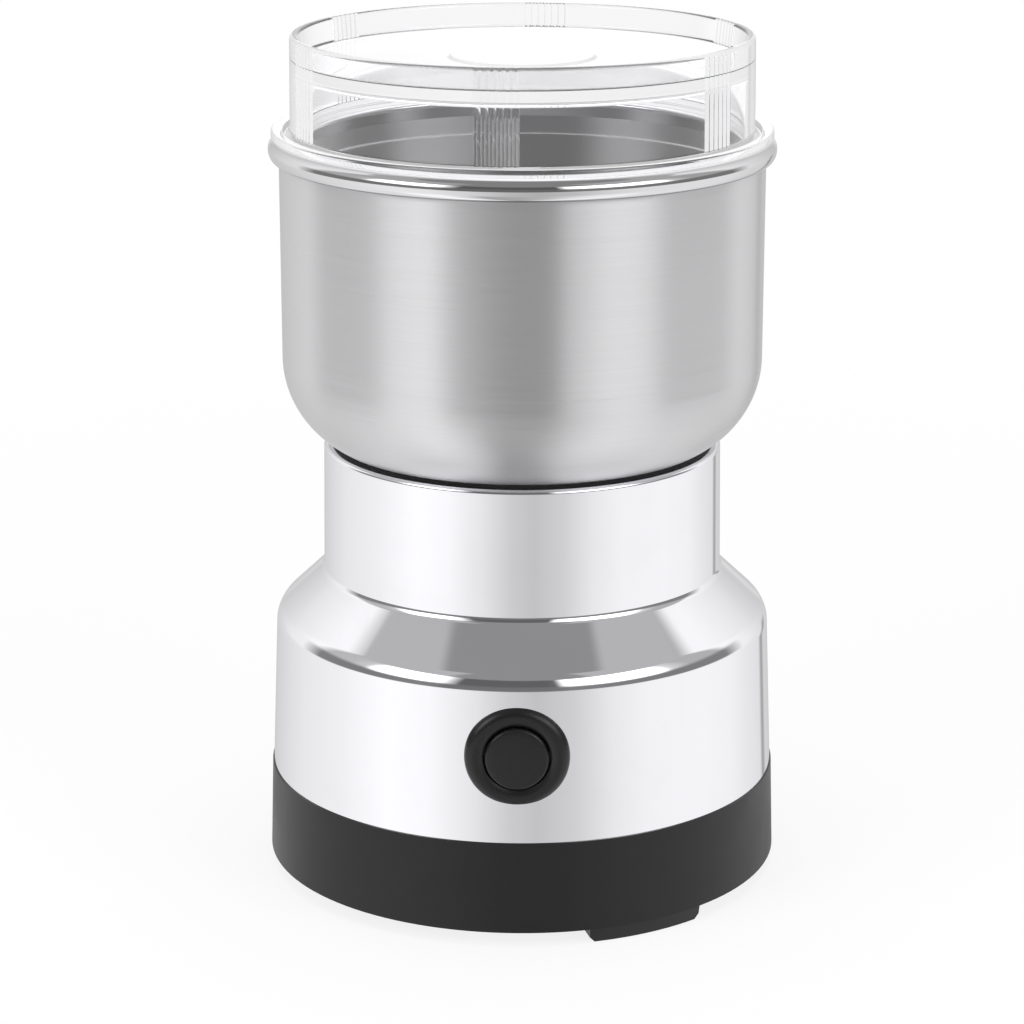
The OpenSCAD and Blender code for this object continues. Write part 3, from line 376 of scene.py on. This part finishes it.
def makeBrushed(f):
    material, tree, to = newMaterial("brushedBowl", {
        "Metallic": 1.0, "Anisotropic": f["stretch"], "Anisotropic Rotation": f["stretchTurn"]})
    grain = effect(tree, "turned", Around=f["around"], Across=f["across"], Contrast=f["contrast"])
    tone = effect(tree, "moulded", Broad=f["broad"])["Tone"]
    place = put(tree, "ShaderNodeTexCoord").outputs["Object"]
    height = put(tree, "ShaderNodeSeparateXYZ", {0: place}).outputs[2]
    under = boxOf("bowl")[1].z - f["beadH"]
    bead = spread(tree, height, *[(under + start) * mm for start in f["beadStart"]])
    above = spread(tree, height, *[(under + end) * mm for end in f["creaseShadeEnd"]])
    notBead = calc(tree, "SUBTRACT", 1.0, bead)
    inner = put(tree, "ShaderNodeAttribute", attribute_name="inside").outputs["Fac"]
    smooth = calc(tree, "MAXIMUM", bead, inner)
    # painted shade: the wall just under the bead gets a darker colour, where the bead's shadow falls
    creaseShadeMask = calc(tree, "SUBTRACT", bead, calc(tree, "MAXIMUM", above, inner), clamp=True)
    base = toned(tree, blend(tree, f["toneShare"], grain["Grain"], tone), f["color"], f["vary"])
    # painted shade: below the bead, the inside takes a darker colour than the outside, for the shade in the
    # hollow
    insideShadeMask = calc(tree, "MULTIPLY", inner, notBead)
    base = blendColor(tree, insideShadeMask, base, shade(f["color"], f["insideShade"]))
    wire(tree, blendColor(tree, creaseShadeMask, base, shade(f["color"], f["creaseShade"])), to["Base Color"])
    outside = roughened(tree, grain["Grain"], "grain", f["roughness"], f["roughVary"])
    inside = roughened(tree, grain["Grain"], "grain", f["inside"], f["insideVary"])
    polished = blend(tree, bead, inside, f["bead"])
    wire(tree, blend(tree, smooth, outside, polished), to["Roughness"])
    grooves = calc(tree, "MULTIPLY", grain["Height"], calc(tree, "SUBTRACT", 1.0, smooth))
    wire(tree, bump(tree, grooves, f["groove"], f["grooveDepth"]), to["Normal"])
    around = put(tree, "ShaderNodeTangent", direction_type="RADIAL", axis="Z").outputs[0]
    wire(tree, around, to["Tangent"])
    return material


# clear moulded lid
lidFinish = {
    "color": (0.98, 0.978, 0.99),
    "roughness": 0.012,
    "ior": 1.53,
    "coat": 0.3,
    "marks": 0.05,
    "markTone": 0.985,
    "markSize": 55.0,
}


def makeClear(f):
    material, tree, to = newMaterial("clearLid", {
        "Transmission Weight": 1.0, "IOR": f["ior"], "Coat Weight": f["coat"]})
    marks = effect(tree, "handling", Size=f["markSize"])["Marks"]
    color = blendColor(tree, marks, shade(f["color"]), shade(f["color"], f["markTone"]))
    wire(tree, color, to["Base Color"])
    rough = calc(tree, "ADD", calc(tree, "MULTIPLY", marks, f["marks"]), f["roughness"])
    wire(tree, rough, to["Roughness"])
    return material


print("materials: one for each finish")
finishes = {
    "base_plastic": plastic("basePlastic", (0.0075, 0.0075, 0.0085), 0.37, level=0.4, marks=0.3),
    "button_plastic": plastic("buttonPlastic", (0.0075, 0.0075, 0.008), 0.32, level=0.45, marks=0.4),
    "switch_plastic": plastic("switchPlastic", (0.02, 0.02, 0.022), 0.5),
    "chassis_plastic": plastic("chassisPlastic", (0.62, 0.6, 0.55), 0.5, vary=0.05),
    "black_rubber": plastic("blackRubber", (0.012, 0.012, 0.012), 0.7, level=0.3, skin=0.4, fine=2500.0),
    "carbon": plastic("carbon", (0.02, 0.02, 0.021), 0.65, vary=0.4, skin=0.5, broad=900.0, fine=5000.0),
    "polished_shell": makePolished(shellFinish),
    "bowl_steel": makeBrushed(bowlFinish),
    "clear_lid": makeClear(lidFinish),
    "hub_metal": metal("hubMetal", (0.42, 0.42, 0.43), 0.3),
    "bronze": metal("bronze", (0.5, 0.31, 0.16), 0.42, contrast=0.3, vary=0.2),
    "bracket_metal": metal("bracketMetal", (0.6, 0.61, 0.63), 0.38, across=900.0, contrast=0.3),
    "screw_steel": metal("screwSteel", (0.6, 0.6, 0.61), 0.3, across=4000.0),
    "brass": metal("brass", (0.72, 0.53, 0.24), 0.3, across=1200.0, contrast=0.3),
    "spring_steel": metal("springSteel", (0.55, 0.55, 0.56), 0.25, across=5000.0, contrast=0.3),
    "shaft_steel": metal("shaftSteel", (0.6, 0.6, 0.62), 0.2, across=4500.0, contrast=0.4),
    "commutator_copper": metal("commutatorCopper", (0.66, 0.33, 0.17), 0.28, across=3500.0),
    "blade_steel": metal("bladeSteel", (0.66, 0.66, 0.67), 0.24, across=1700.0, contrast=0.6),
    "core_steel": layered("coreSteel", (0.3, 0.3, 0.31), (0.05, 0.045, 0.04), 0.4, 1.0, 0.0005),
    "copper_wire": layered("copperWire", (0.5, 0.19, 0.07), (0.1, 0.03, 0.01), 0.3, 0.6, 0.0006, waver=0.4),
}


# how finely rounds are cut, and how a piece is closed
meshSet = {
    "leastSteps": 4,        # in a round, and that many more for each millimetre
    "stepsPerMm": 2,
    "mostSteps": 32,
    "weld": 1e-7,           # metres
    "sharp": 32,            # degrees: steeper edges stay sharp
}


def roundCorners(bm, corners, radii):
    for corner, radius in zip(corners, radii):
        if radius:
            steps = meshSet["leastSteps"] + int(meshSet["stepsPerMm"] * radius)
            bmesh.ops.bevel(bm, geom=[corner], offset=radius * mm, offset_type="OFFSET", affect="VERTICES",
                            segments=min(meshSet["mostSteps"], steps), profile=0.5, material=-1)


def closeUp(bm):  # joins the seams and turns the faces outwards
    bmesh.ops.remove_doubles(bm, verts=bm.verts[:], dist=meshSet["weld"])
    bmesh.ops.recalc_face_normals(bm, faces=bm.faces[:])


def pieceFrom(bm, name):
    closeUp(bm)
    for face in bm.faces:
        face.smooth = True
    for edge in bm.edges:
        edge.smooth = edge.calc_face_angle(0) < math.radians(meshSet["sharp"])
    mesh = bpy.data.meshes.new(name)
    bm.to_mesh(mesh)
    bm.free()
    piece = bpy.data.objects.new(name, mesh)
    scene.collection.objects.link(piece)
    return piece


# an outline of (radius, height, round) corners in millimetres, turned round the Z axis
def turn(outline, steps):
    bm = bmesh.new()
    corners = [bm.verts.new((r * mm, 0, z * mm)) for r, z, _ in outline]
    pairs = list(zip(corners, corners[1:]))
    if outline[0][0] > 0:
        pairs.append((corners[-1], corners[0]))
    for pair in pairs:
        bm.edges.new(pair)
    roundCorners(bm, corners, [corner[2] for corner in outline])
    bmesh.ops.spin(bm, geom=bm.verts[:] + bm.edges[:], cent=(0, 0, 0), axis=(0, 0, 1), dvec=(0, 0, 0),
                   angle=2 * math.pi, steps=steps, use_merge=True)
    return bm


def combine(piece, other, operation):  # boolean of two pieces; the second one is used up
    step = piece.modifiers.new("combine", "BOOLEAN")
    step.object = other
    step.operation = operation
    step.solver = "EXACT"
    graph = bpy.context.evaluated_depsgraph_get()
    bm = bmesh.new()
    bm.from_object(piece, graph)
    name = piece.name
    bpy.data.objects.remove(other)
    bpy.data.objects.remove(piece)
    return pieceFrom(bm, name)


def dress(piece, slot, body, *replaced):
    piece.data.materials.append(finishes[slot])
    smoother = piece.modifiers.new("smoother", "WEIGHTED_NORMAL")
    smoother.keep_sharp = True
    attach(piece, body)
    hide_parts(*replaced)


# clear lid: brim on the bead, spigot inside the bowl, sunk top plate with a raised disc, ribbed wall
lidShape = {
    "brim": 3.6,            # from the wall out to the brim's edge
    "brimT": 1.5,
    "wall": 1.8,
    "spigotIn": 2.3,        # from the brim's edge in to the spigot
    "spigotH": 8.0,
    "plateDrop": 4.5,
    "rimSlope": 0.6,
    "draft": 0.2,
    "corner": 1.0,          # round between the plate's underside and the wall
    "disc": 13.5,
    "discH": 0.5,
    "edge": 0.5,
    "topEdge": 0.7,
    "ribs": 6,
    "groups": 6,
    "firstGroup": -5.0,     # degrees from the front, + to the right
    "ribH": 0.42,
    "ribTop": 0.8,          # the share of the top edge's round that a rib climbs
    "ribColumns": 4,        # columns of faces from one rib to the next
    "ribHalf": 1.5,         # half the width of a rib, in columns
    "columns": 792,         # round the whole lid
}


def makeLid(s):
    low, high = boxOf("lid")
    brimR = high.x
    wallR = brimR - s["brim"]
    spigotR = brimR - s["spigotIn"]
    brimZ = low.z + s["spigotH"]
    brimTop = brimZ + s["brimT"]
    top = high.z
    plate = top - s["plateDrop"]
    t = s["wall"]
    edge = s["edge"]
    fine = edge / 2
    bm = turn([
        (0, plate - t, 0),
        (wallR - t, plate - t, s["corner"]),
        (wallR - t, brimZ, edge),
        (spigotR - t, brimZ - t, edge),
        (spigotR - t, low.z, fine),
        (spigotR, low.z, edge),
        (spigotR, brimZ, fine),
        (brimR, brimZ, fine),
        (brimR, brimTop, edge),
        (wallR, brimTop, fine),
        (wallR - s["draft"], top, s["topEdge"]),
        (wallR - t, top, edge),
        (wallR - t - s["rimSlope"], plate, edge),
        (s["disc"] + s["discH"], plate, fine),
        (s["disc"], plate + s["discH"], fine),
        (0, plate + s["discH"], 0),
    ], s["columns"])
    columnAngle = 360 / s["columns"]
    groupAngle = 360 / s["groups"]
    wallIn = wallR - s["draft"] - s["ribTop"] * s["topEdge"]
    for v in bm.verts:
        radius = math.hypot(v.co.x, v.co.y) / mm
        height = v.co.z / mm
        if not wallIn <= radius <= wallR + edge or height < brimTop - fine / 2:
            continue
        angle = math.degrees(math.atan2(v.co.x, -v.co.y)) - s["firstGroup"]
        away = (angle + groupAngle / 2) % groupAngle - groupAngle / 2
        # the ribs stand evenly on both sides of the group's middle
        step = away / columnAngle / s["ribColumns"] + s["ribs"] / 2
        if not 0 <= step <= s["ribs"]:
            continue
        across = (step % 1 - 0.5) * s["ribColumns"]
        rise = s["ribH"] * math.sqrt(max(0, 1 - (across / s["ribHalf"]) ** 2))
        fade = min(1, max(0, (top - height) / s["topEdge"]))
        v.co.x *= 1 + rise * fade / radius
        v.co.y *= 1 + rise * fade / radius
    lid = pieceFrom(bm, "lidClear")
    lid.visible_shadow = False
    lid.visible_glossy = False      # the bowl mirrors the room, not the lid's edges
    dress(lid, "clear_lid", "lid", "lid")


print("lid")
makeLid(lidShape)

# steel bowl with its rolled bead
bowlShape = {
    "t": 0.6,
    "bead": 2.0,
    "beadRound": 1.9,
    "lipRound": 0.7,
    "round": 18.6,
    "hole": 7.05,
    "tuck": 0.6,            # how far the bead's edge turns back in under itself
    "floorUp": 0.7,         # a face that looks up more than this is the floor's, or the rim's top
    "steps": 240,
}


def makeBowl(s):
    low, high = boxOf("bowl")
    outR = high.x
    wallR = outR - s["bead"]
    beadZ = high.z - s["bead"]
    t = s["t"]
    under = beadZ - s["beadRound"]
    bm = turn([
        (s["hole"], low.z, 0),
        (wallR, low.z, s["round"]),
        (wallR, high.z - t, t / 2),
        (outR - t, high.z - t, s["beadRound"] - t),
        (outR - t, under + t, s["beadRound"] - t),
        (wallR + s["tuck"], under + t, t / 3),
        (wallR + s["tuck"], under, t / 3),
        (outR, under, s["beadRound"]),
        (outR, high.z, s["beadRound"]),
        (wallR - t, high.z, s["lipRound"]),
        (wallR - t, low.z + t, s["round"] - t),
        (s["hole"], low.z + t, 0),
    ], s["steps"])
    closeUp(bm)
    inside = bm.faces.layers.float.new("inside")
    for face in bm.faces:
        middle = face.calc_center_median()
        outward = face.normal.x * middle.x + face.normal.y * middle.y
        face[inside] = 1.0 if outward < 0 or face.normal.z > s["floorUp"] else 0.0
    dress(pieceFrom(bm, "bowlBrushed"), "bowl_steel", "housing", "bowl")


print("bowl")
makeBowl(bowlShape)

# polished shell: straight side, rounded shoulder, neck with a turned-in lip
shellShape = {
    "t": 0.8,
    "sideH": 29.0,
    "sideDraft": 1.15,
    "slope": 43.4,          # degrees from level
    "neckR": 38.65,
    "neckH": 25.0,
    "neckDraft": 0.35,
    "lip": 2.85,
    "shoulderRound": 1.9,
    "footRound": 0.8,
    "lipRound": 0.8,
    "buttonHole": 8.25,
    "holeSteps": 96,
    "steps": 256,
}
buttonZ = sum(corner.z for corner in boxOf("power_button")) / 2


def shellOutline(s, inset=0.0):  # the side from its lower edge up to the neck's foot
    low, high = boxOf("outer_shell")
    slope = math.tan(math.radians(s["slope"]))
    footZ = high.z - s["neckH"]
    drop = inset / math.cos(math.radians(s["slope"]))
    lean = s["sideDraft"] / s["sideH"]
    # where the leaning side meets the sloping shoulder
    rise = (footZ - drop - low.z - (high.x - inset - s["neckR"]) * slope) / (1 - lean * slope)
    return [
        (high.x - inset, low.z, 0),
        (high.x - inset - lean * rise, low.z + rise, s["shoulderRound"]),
        (s["neckR"] - inset, footZ - drop + inset * slope, s["footRound"]),
    ]


def makeShell(s):
    high = boxOf("outer_shell")[1]
    t = s["t"]
    neckTopR = s["neckR"] - s["neckDraft"]
    outside = shellOutline(s)
    inside = shellOutline(s, t)
    bm = turn(outside + [
        (neckTopR, high.z, s["lipRound"]),
        (neckTopR - s["lip"], high.z, 0),
        (neckTopR - s["lip"], high.z - t, 0),
        (neckTopR - t, high.z - t, t / 4),
    ] + inside[::-1], s["steps"])
    shell = pieceFrom(bm, "shellPolished")
    drill = bmesh.new()
    place = Matrix.Translation((0, -high.x * mm, buttonZ * mm)) @ Matrix.Rotation(math.pi / 2, 4, "X")
    bmesh.ops.create_cone(drill, cap_ends=True, segments=s["holeSteps"], radius1=s["buttonHole"] * mm,
                          radius2=s["buttonHole"] * mm, depth=high.x * mm / 2, matrix=place)
    shell = combine(shell, pieceFrom(drill, "drill"), "DIFFERENCE")
    dress(shell, "polished_shell", "housing", "outer_shell")


print("shell")
makeShell(shellShape)

# push-button: bezel with a dished face, and the cap
buttonShape = {
    "bezelR": 9.8,
    "mouthR": 6.2,
    "dish": 0.5,
    "edge": 1.5,            # round of the bezel's outer edge
    "faceW": 2.4,           # sloping ring outside the dish
    "faceDrop": 0.35,
    "depth": 3.0,           # of the bezel ahead of the shell's wall
    "lip": 0.1,
    "tubeR": 8.2,
    "stepIn": 2.5,          # from the bezel's face back to the cap's stop
    "guideIn": 10.4,
    "tubeIn": 11.6,
    "collarR": 7.0,
    "collarIn": 2.8,
    "collarT": 1.6,
    "capR": 5.93,
    "stemR": 2.0,
    "gap": 0.3,
    "crown": 0.25,
    "capEdge": 0.5,
    "steps": 144,
}


def faceFront(bm):  # from the Z axis to the button's axis, with +Z turned to the front
    place = Matrix.Translation((0, 0, buttonZ * mm)) @ Matrix.Rotation(math.pi / 2, 4, "X")
    bmesh.ops.transform(bm, matrix=place, verts=bm.verts[:])
    return bm


def makeButton(s):
    face = -boxOf("button_bezel")[0].y
    low, high = boxOf("power_button")
    tip = -low.y
    backY = face - s["dish"] - s["depth"]
    ring = pieceFrom(faceFront(turn([
        (s["mouthR"], backY, 0),
        (s["mouthR"], face - s["dish"], s["lip"]),
        (s["bezelR"] - s["faceW"], face, s["edge"] / 2),
        (s["bezelR"], face - s["faceDrop"], s["edge"]),
        (s["bezelR"], backY, 0),
    ], s["steps"])), "bezelBlack")
    # the bezel's back is cut to the shell's outside
    side = shellOutline(shellShape)
    core = turn([(0, side[0][1], 0)] + side + [(0, side[-1][1], 0)], shellShape["steps"])
    ring = combine(ring, pieceFrom(core, "core"), "DIFFERENCE")
    tube = pieceFrom(faceFront(turn([
        (s["stemR"] + s["gap"], face - s["tubeIn"], 0),
        (s["stemR"] + s["gap"], face - s["guideIn"], 0),
        (s["collarR"] + s["gap"] / 4, face - s["guideIn"], 0),
        (s["collarR"] + s["gap"] / 4, face - s["stepIn"], 0),
        (s["mouthR"], face - s["stepIn"], 0),
        (s["mouthR"], face - s["dish"] - s["gap"], 0),
        (s["tubeR"], face - s["dish"] - s["gap"], 0),
        (s["tubeR"], face - s["tubeIn"], s["gap"]),
    ], s["steps"])), "tube")
    ring = combine(ring, tube, "UNION")
    dress(ring, "button_plastic", "housing", "button_bezel")
    cap = pieceFrom(faceFront(turn([
        (0, -high.y, 0),
        (s["stemR"], -high.y, s["gap"]),
        (s["stemR"], face - s["collarIn"] - s["collarT"], 0),
        (s["collarR"], face - s["collarIn"] - s["collarT"], 0),
        (s["collarR"], face - s["collarIn"], 0),
        (s["capR"], face - s["collarIn"], 0),
        (s["capR"], tip - s["crown"], s["capEdge"]),
        (s["capR"] / 2, tip, s["capR"] / 4),
        (0, tip, 0),
    ], s["steps"])), "capBlack")
    dress(cap, "button_plastic", "button", "power_button")


print("button")
makeButton(buttonShape)

# the other nodes keep their shape and take the finish of their slot
remade = {"lid", "bowl", "outer_shell", "button_bezel", "power_button"}
for part in frame["record"]["subparts"]:
    if part["node"] in remade:
        continue
    for slot in nodes[part["node"]].material_slots:
        slot.link = "OBJECT"
        slot.material = finishes[part["material_slot"]]

# studio: white to the eye and through the lid; what the metal mirrors is a room with two soft boxes
studio = {
    "peak": 3.2,            # brightness of a full ramp
    # bands of the room from the lowest up: degrees from the front, + to the right, and the brightness there
    "under": (
        (-180, 0.62), (-110, 0.93), (-70, 0.93), (-60, 1.2), (-42, 1.2), (-37, 0.95), (-30, 0.85),
        (-20, 0.46), (-2, 0.5), (14, 0.58), (22, 0.72), (36, 0.98), (60, 1.15), (72, 0.95),
        (110, 0.93), (180, 0.62)),
    "below": (
        (-180, 0.57), (-150, 0.68), (-120, 0.82), (-90, 0.9), (-62, 1.03), (-42, 0.99), (-22, 0.82),
        (-5, 0.62), (8, 0.555), (25, 0.645), (42, 0.83), (60, 0.92), (90, 0.94), (112, 0.91),
        (128, 0.82), (146, 0.75), (149, 0.38), (152, 0.38), (155, 0.66), (180, 0.57)),
    "horizon": (
        (-180, 1.15), (-160, 0.6), (-130, 0.85), (-118, 0.9), (-104, 0.22), (-75, 0.2), (-41, 0.22),
        (-33, 0.17), (16, 0.17), (23, 0.22), (75, 0.2), (108, 0.22), (122, 0.9), (130, 0.85),
        (160, 0.6), (180, 1.15)),
    "boxes": (
        (-180, 1.25), (-157, 0.66), (-132, 0.86), (-116, 0.98), (-111, 0.98), (-102, 0.48), (-86, 0.5),
        (-77, 0.6), (-69, 2.2), (-62, 2.7), (-46, 3.1), (-40, 2.0), (-33, 0.7), (-28, 0.12), (17, 0.12),
        (23, 1.9), (44, 3.15), (58, 3.05), (67, 2.4), (75, 0.7), (86, 0.44), (106, 0.44), (112, 0.96),
        (118, 0.96), (132, 0.86), (157, 0.66), (180, 1.25)),
    # degrees above the horizon over which each band takes over from the one under it
    "starts": {"below": (-46, -34), "horizon": (-8, -3), "boxes": (11, 20)},
    "boxTop": 40,           # degrees above the horizon where the soft boxes end
    "wallTop": 53,
    "wallSide": (98, 110),  # degrees from the front where the walls' height takes over
    "topSoft": 2,           # degrees to both sides of those tops
    "high": 0.46,           # between the soft boxes and the ceiling
    "highSide": (32, 42),   # but in front of the grinder the ceiling comes down to the boxes
    "top": 0.27,
    "topStart": (63.5, 66.5),
    "diffuse": 0.5,         # what plain surfaces see of the room
    "glass": 0.85,          # how much of a pale grey the edges of clear pieces pick up
    "glassTop": 0.5,        # the same for edges that mirror the ceiling
    "glassSpan": (35, 60),  # degrees above the horizon from one to the other
    "glassTone": 0.88,
    "backdrop": 1.65,       # behind the grinder, as its clear lid mirrors it
    "backdropStart": (0.6, 0.85),   # how far a ray looks straight back
}


def rampOf(tree, stops, place, peak):
    ramp = put(tree, "ShaderNodeValToRGB", {0: place})
    ramp.color_ramp.interpolation = "LINEAR"
    points = ramp.color_ramp.elements
    while len(points) < len(stops):
        points.new(0.5)     # each gets its place below
    for point, (angle, level) in zip(points, stops):
        point.position = (angle + 180) / 360
        point.color = grey(level / peak)
    return calc(tree, "MULTIPLY", ramp.outputs[0], peak)


def makeWorld(s):
    world = bpy.data.worlds.new("studio")
    scene.world = world
    world.use_nodes = True
    world.cycles.sampling_method = "NONE"
    tree = world.node_tree
    tree.nodes.clear()
    looking = put(tree, "ShaderNodeTexCoord").outputs["Generated"]
    axes = put(tree, "ShaderNodeSeparateXYZ", {0: looking}).outputs
    around = calc(tree, "ARCTAN2", axes[0], calc(tree, "MULTIPLY", axes[1], -1.0))
    turned = calc(tree, "ADD", calc(tree, "DIVIDE", around, 2 * math.pi), 0.5)
    up = calc(tree, "DEGREES", calc(tree, "ARCSINE", axes[2]))
    room = rampOf(tree, s["under"], turned, s["peak"])
    for band, start in s["starts"].items():
        room = blendColor(tree, spread(tree, up, *start), room, rampOf(tree, s[band], turned, s["peak"]))
    # the soft boxes end lower than the pale walls beside and behind the grinder
    side = calc(tree, "DEGREES", calc(tree, "ABSOLUTE", around))
    over = calc(tree, "SUBTRACT", up, spread(tree, side, *s["wallSide"], s["boxTop"], s["wallTop"]))
    high = blendColor(tree, spread(tree, side, *s["highSide"]), grey(s["top"]), grey(s["high"]))
    room = blendColor(tree, spread(tree, over, -s["topSoft"], s["topSoft"]), room, high)
    room = blendColor(tree, spread(tree, up, *s["topStart"]), room, grey(s["top"]))
    # white to the eye, also through the lid
    path = put(tree, "ShaderNodeLightPath").outputs
    bounced = calc(tree, "ADD", path["Glossy Depth"], path["Diffuse Depth"], clamp=True)
    seen = calc(tree, "MULTIPLY", path["Is Transmission Ray"], calc(tree, "SUBTRACT", 1.0, bounced))
    seen = calc(tree, "ADD", path["Is Camera Ray"], seen, clamp=True)
    mirrored = calc(tree, "GREATER_THAN", path["Glossy Depth"], path["Diffuse Depth"])
    mirrored = calc(tree, "MAXIMUM", mirrored, path["Is Glossy Ray"])
    # a ray that went in and not out again is still in the clear wall
    inGlass = calc(tree, "MODULO", path["Transmission Depth"], 2.0)
    pickedUp = spread(tree, up, *s["glassSpan"], s["glass"], s["glassTop"])
    pickedUp = calc(tree, "MULTIPLY", inGlass, pickedUp)
    room = blendColor(tree, pickedUp, room, grey(s["glassTone"]))
    passed = calc(tree, "MINIMUM", path["Transmission Depth"], 1.0)
    passed = calc(tree, "SUBTRACT", passed, inGlass, clamp=True)
    behind = calc(tree, "MULTIPLY", passed, spread(tree, axes[1], *s["backdropStart"]))
    room = blendColor(tree, behind, room, grey(s["backdrop"]))
    color = blendColor(tree, mirrored, grey(s["diffuse"]), room)
    color = blendColor(tree, seen, color, grey(1.0))
    light = put(tree, "ShaderNodeBackground", {"Color": color, "Strength": 1.0})
    put(tree, "ShaderNodeOutputWorld", {"Surface": light.outputs[0]})


# floor: pale, keeps the grinder's shadow
floorSet = {
    "size": 6.0,
    "cells": 8,
    "color": (0.93, 0.93, 0.935),
    "vary": 0.02,
    "clouds": 3.0,          # scale of its uneven tone
    "glow": 0.84,           # share of plain white near the grinder; far off it is all white
    "near": 0.15,
    "far": 0.5,
}


def makeFloor(s):
    bm = bmesh.new()
    bmesh.ops.create_grid(bm, x_segments=s["cells"], y_segments=s["cells"], size=s["size"] / 2)
    floor = pieceFrom(bm, "floor")
    material = bpy.data.materials.new("floorPale")
    material.use_nodes = True
    tree = material.node_tree
    tree.nodes.clear()
    path = put(tree, "ShaderNodeLightPath").outputs
    place = put(tree, "ShaderNodeTexCoord").outputs["Object"]
    tone = spread(tree, noise(tree, place, s["clouds"]), *patternSpan["tone"])
    color = blendColor(tree, tone, shade(s["color"], 1 - s["vary"]), shade(s["color"]))
    pale = put(tree, "ShaderNodeBsdfDiffuse", {"Color": color})
    glow = put(tree, "ShaderNodeEmission", {"Color": grey(1.0), "Strength": 1.0})
    seen = calc(tree, "MAXIMUM", path["Is Camera Ray"], path["Is Transmission Ray"])
    away = put(tree, "ShaderNodeVectorMath", {0: place}, operation="LENGTH").outputs["Value"]
    amount = calc(tree, "MULTIPLY", seen, spread(tree, away, s["near"], s["far"], s["glow"], 1.0))
    mixed = put(tree, "ShaderNodeMixShader", {0: amount, 1: pale.outputs[0], 2: glow.outputs[0]})
    put(tree, "ShaderNodeOutputMaterial", {"Surface": mixed.outputs[0]})
    floor.data.materials.append(material)
    floor.visible_glossy = False


# lamps: soft boxes left and right and one overhead, which light plain surfaces only
lamps = {
    "left": {"at": (-0.75, -0.6, 0.55), "size": 0.6, "power": 4.0},
    "right": {"at": (0.75, -0.6, 0.55), "size": 0.6, "power": 3.6},
    "over": {"at": (0.0, 0.1, 1.2), "size": 0.9, "power": 5.5},
}


def makeLamp(name, s):
    data = bpy.data.lights.new(name, "AREA")
    data.shape = "SQUARE"
    data.size = s["size"]
    data.energy = s["power"]
    lamp = bpy.data.objects.new(name, data)
    lamp.matrix_world = Matrix.Translation(s["at"])
    scene.collection.objects.link(lamp)
    middle = (boxOf("base_skirt")[0] + boxOf("lid")[1]) / 2 * mm
    lamp.rotation_euler = (middle - lamp.location).to_track_quat("-Z", "Y").to_euler()
    lamp.visible_glossy = False
    lamp.visible_camera = False
    lamp.visible_transmission = False


print("studio")
makeWorld(studio)
makeFloor(floorSet)
for lampName, lampSet in lamps.items():
    makeLamp(lampName, lampSet)
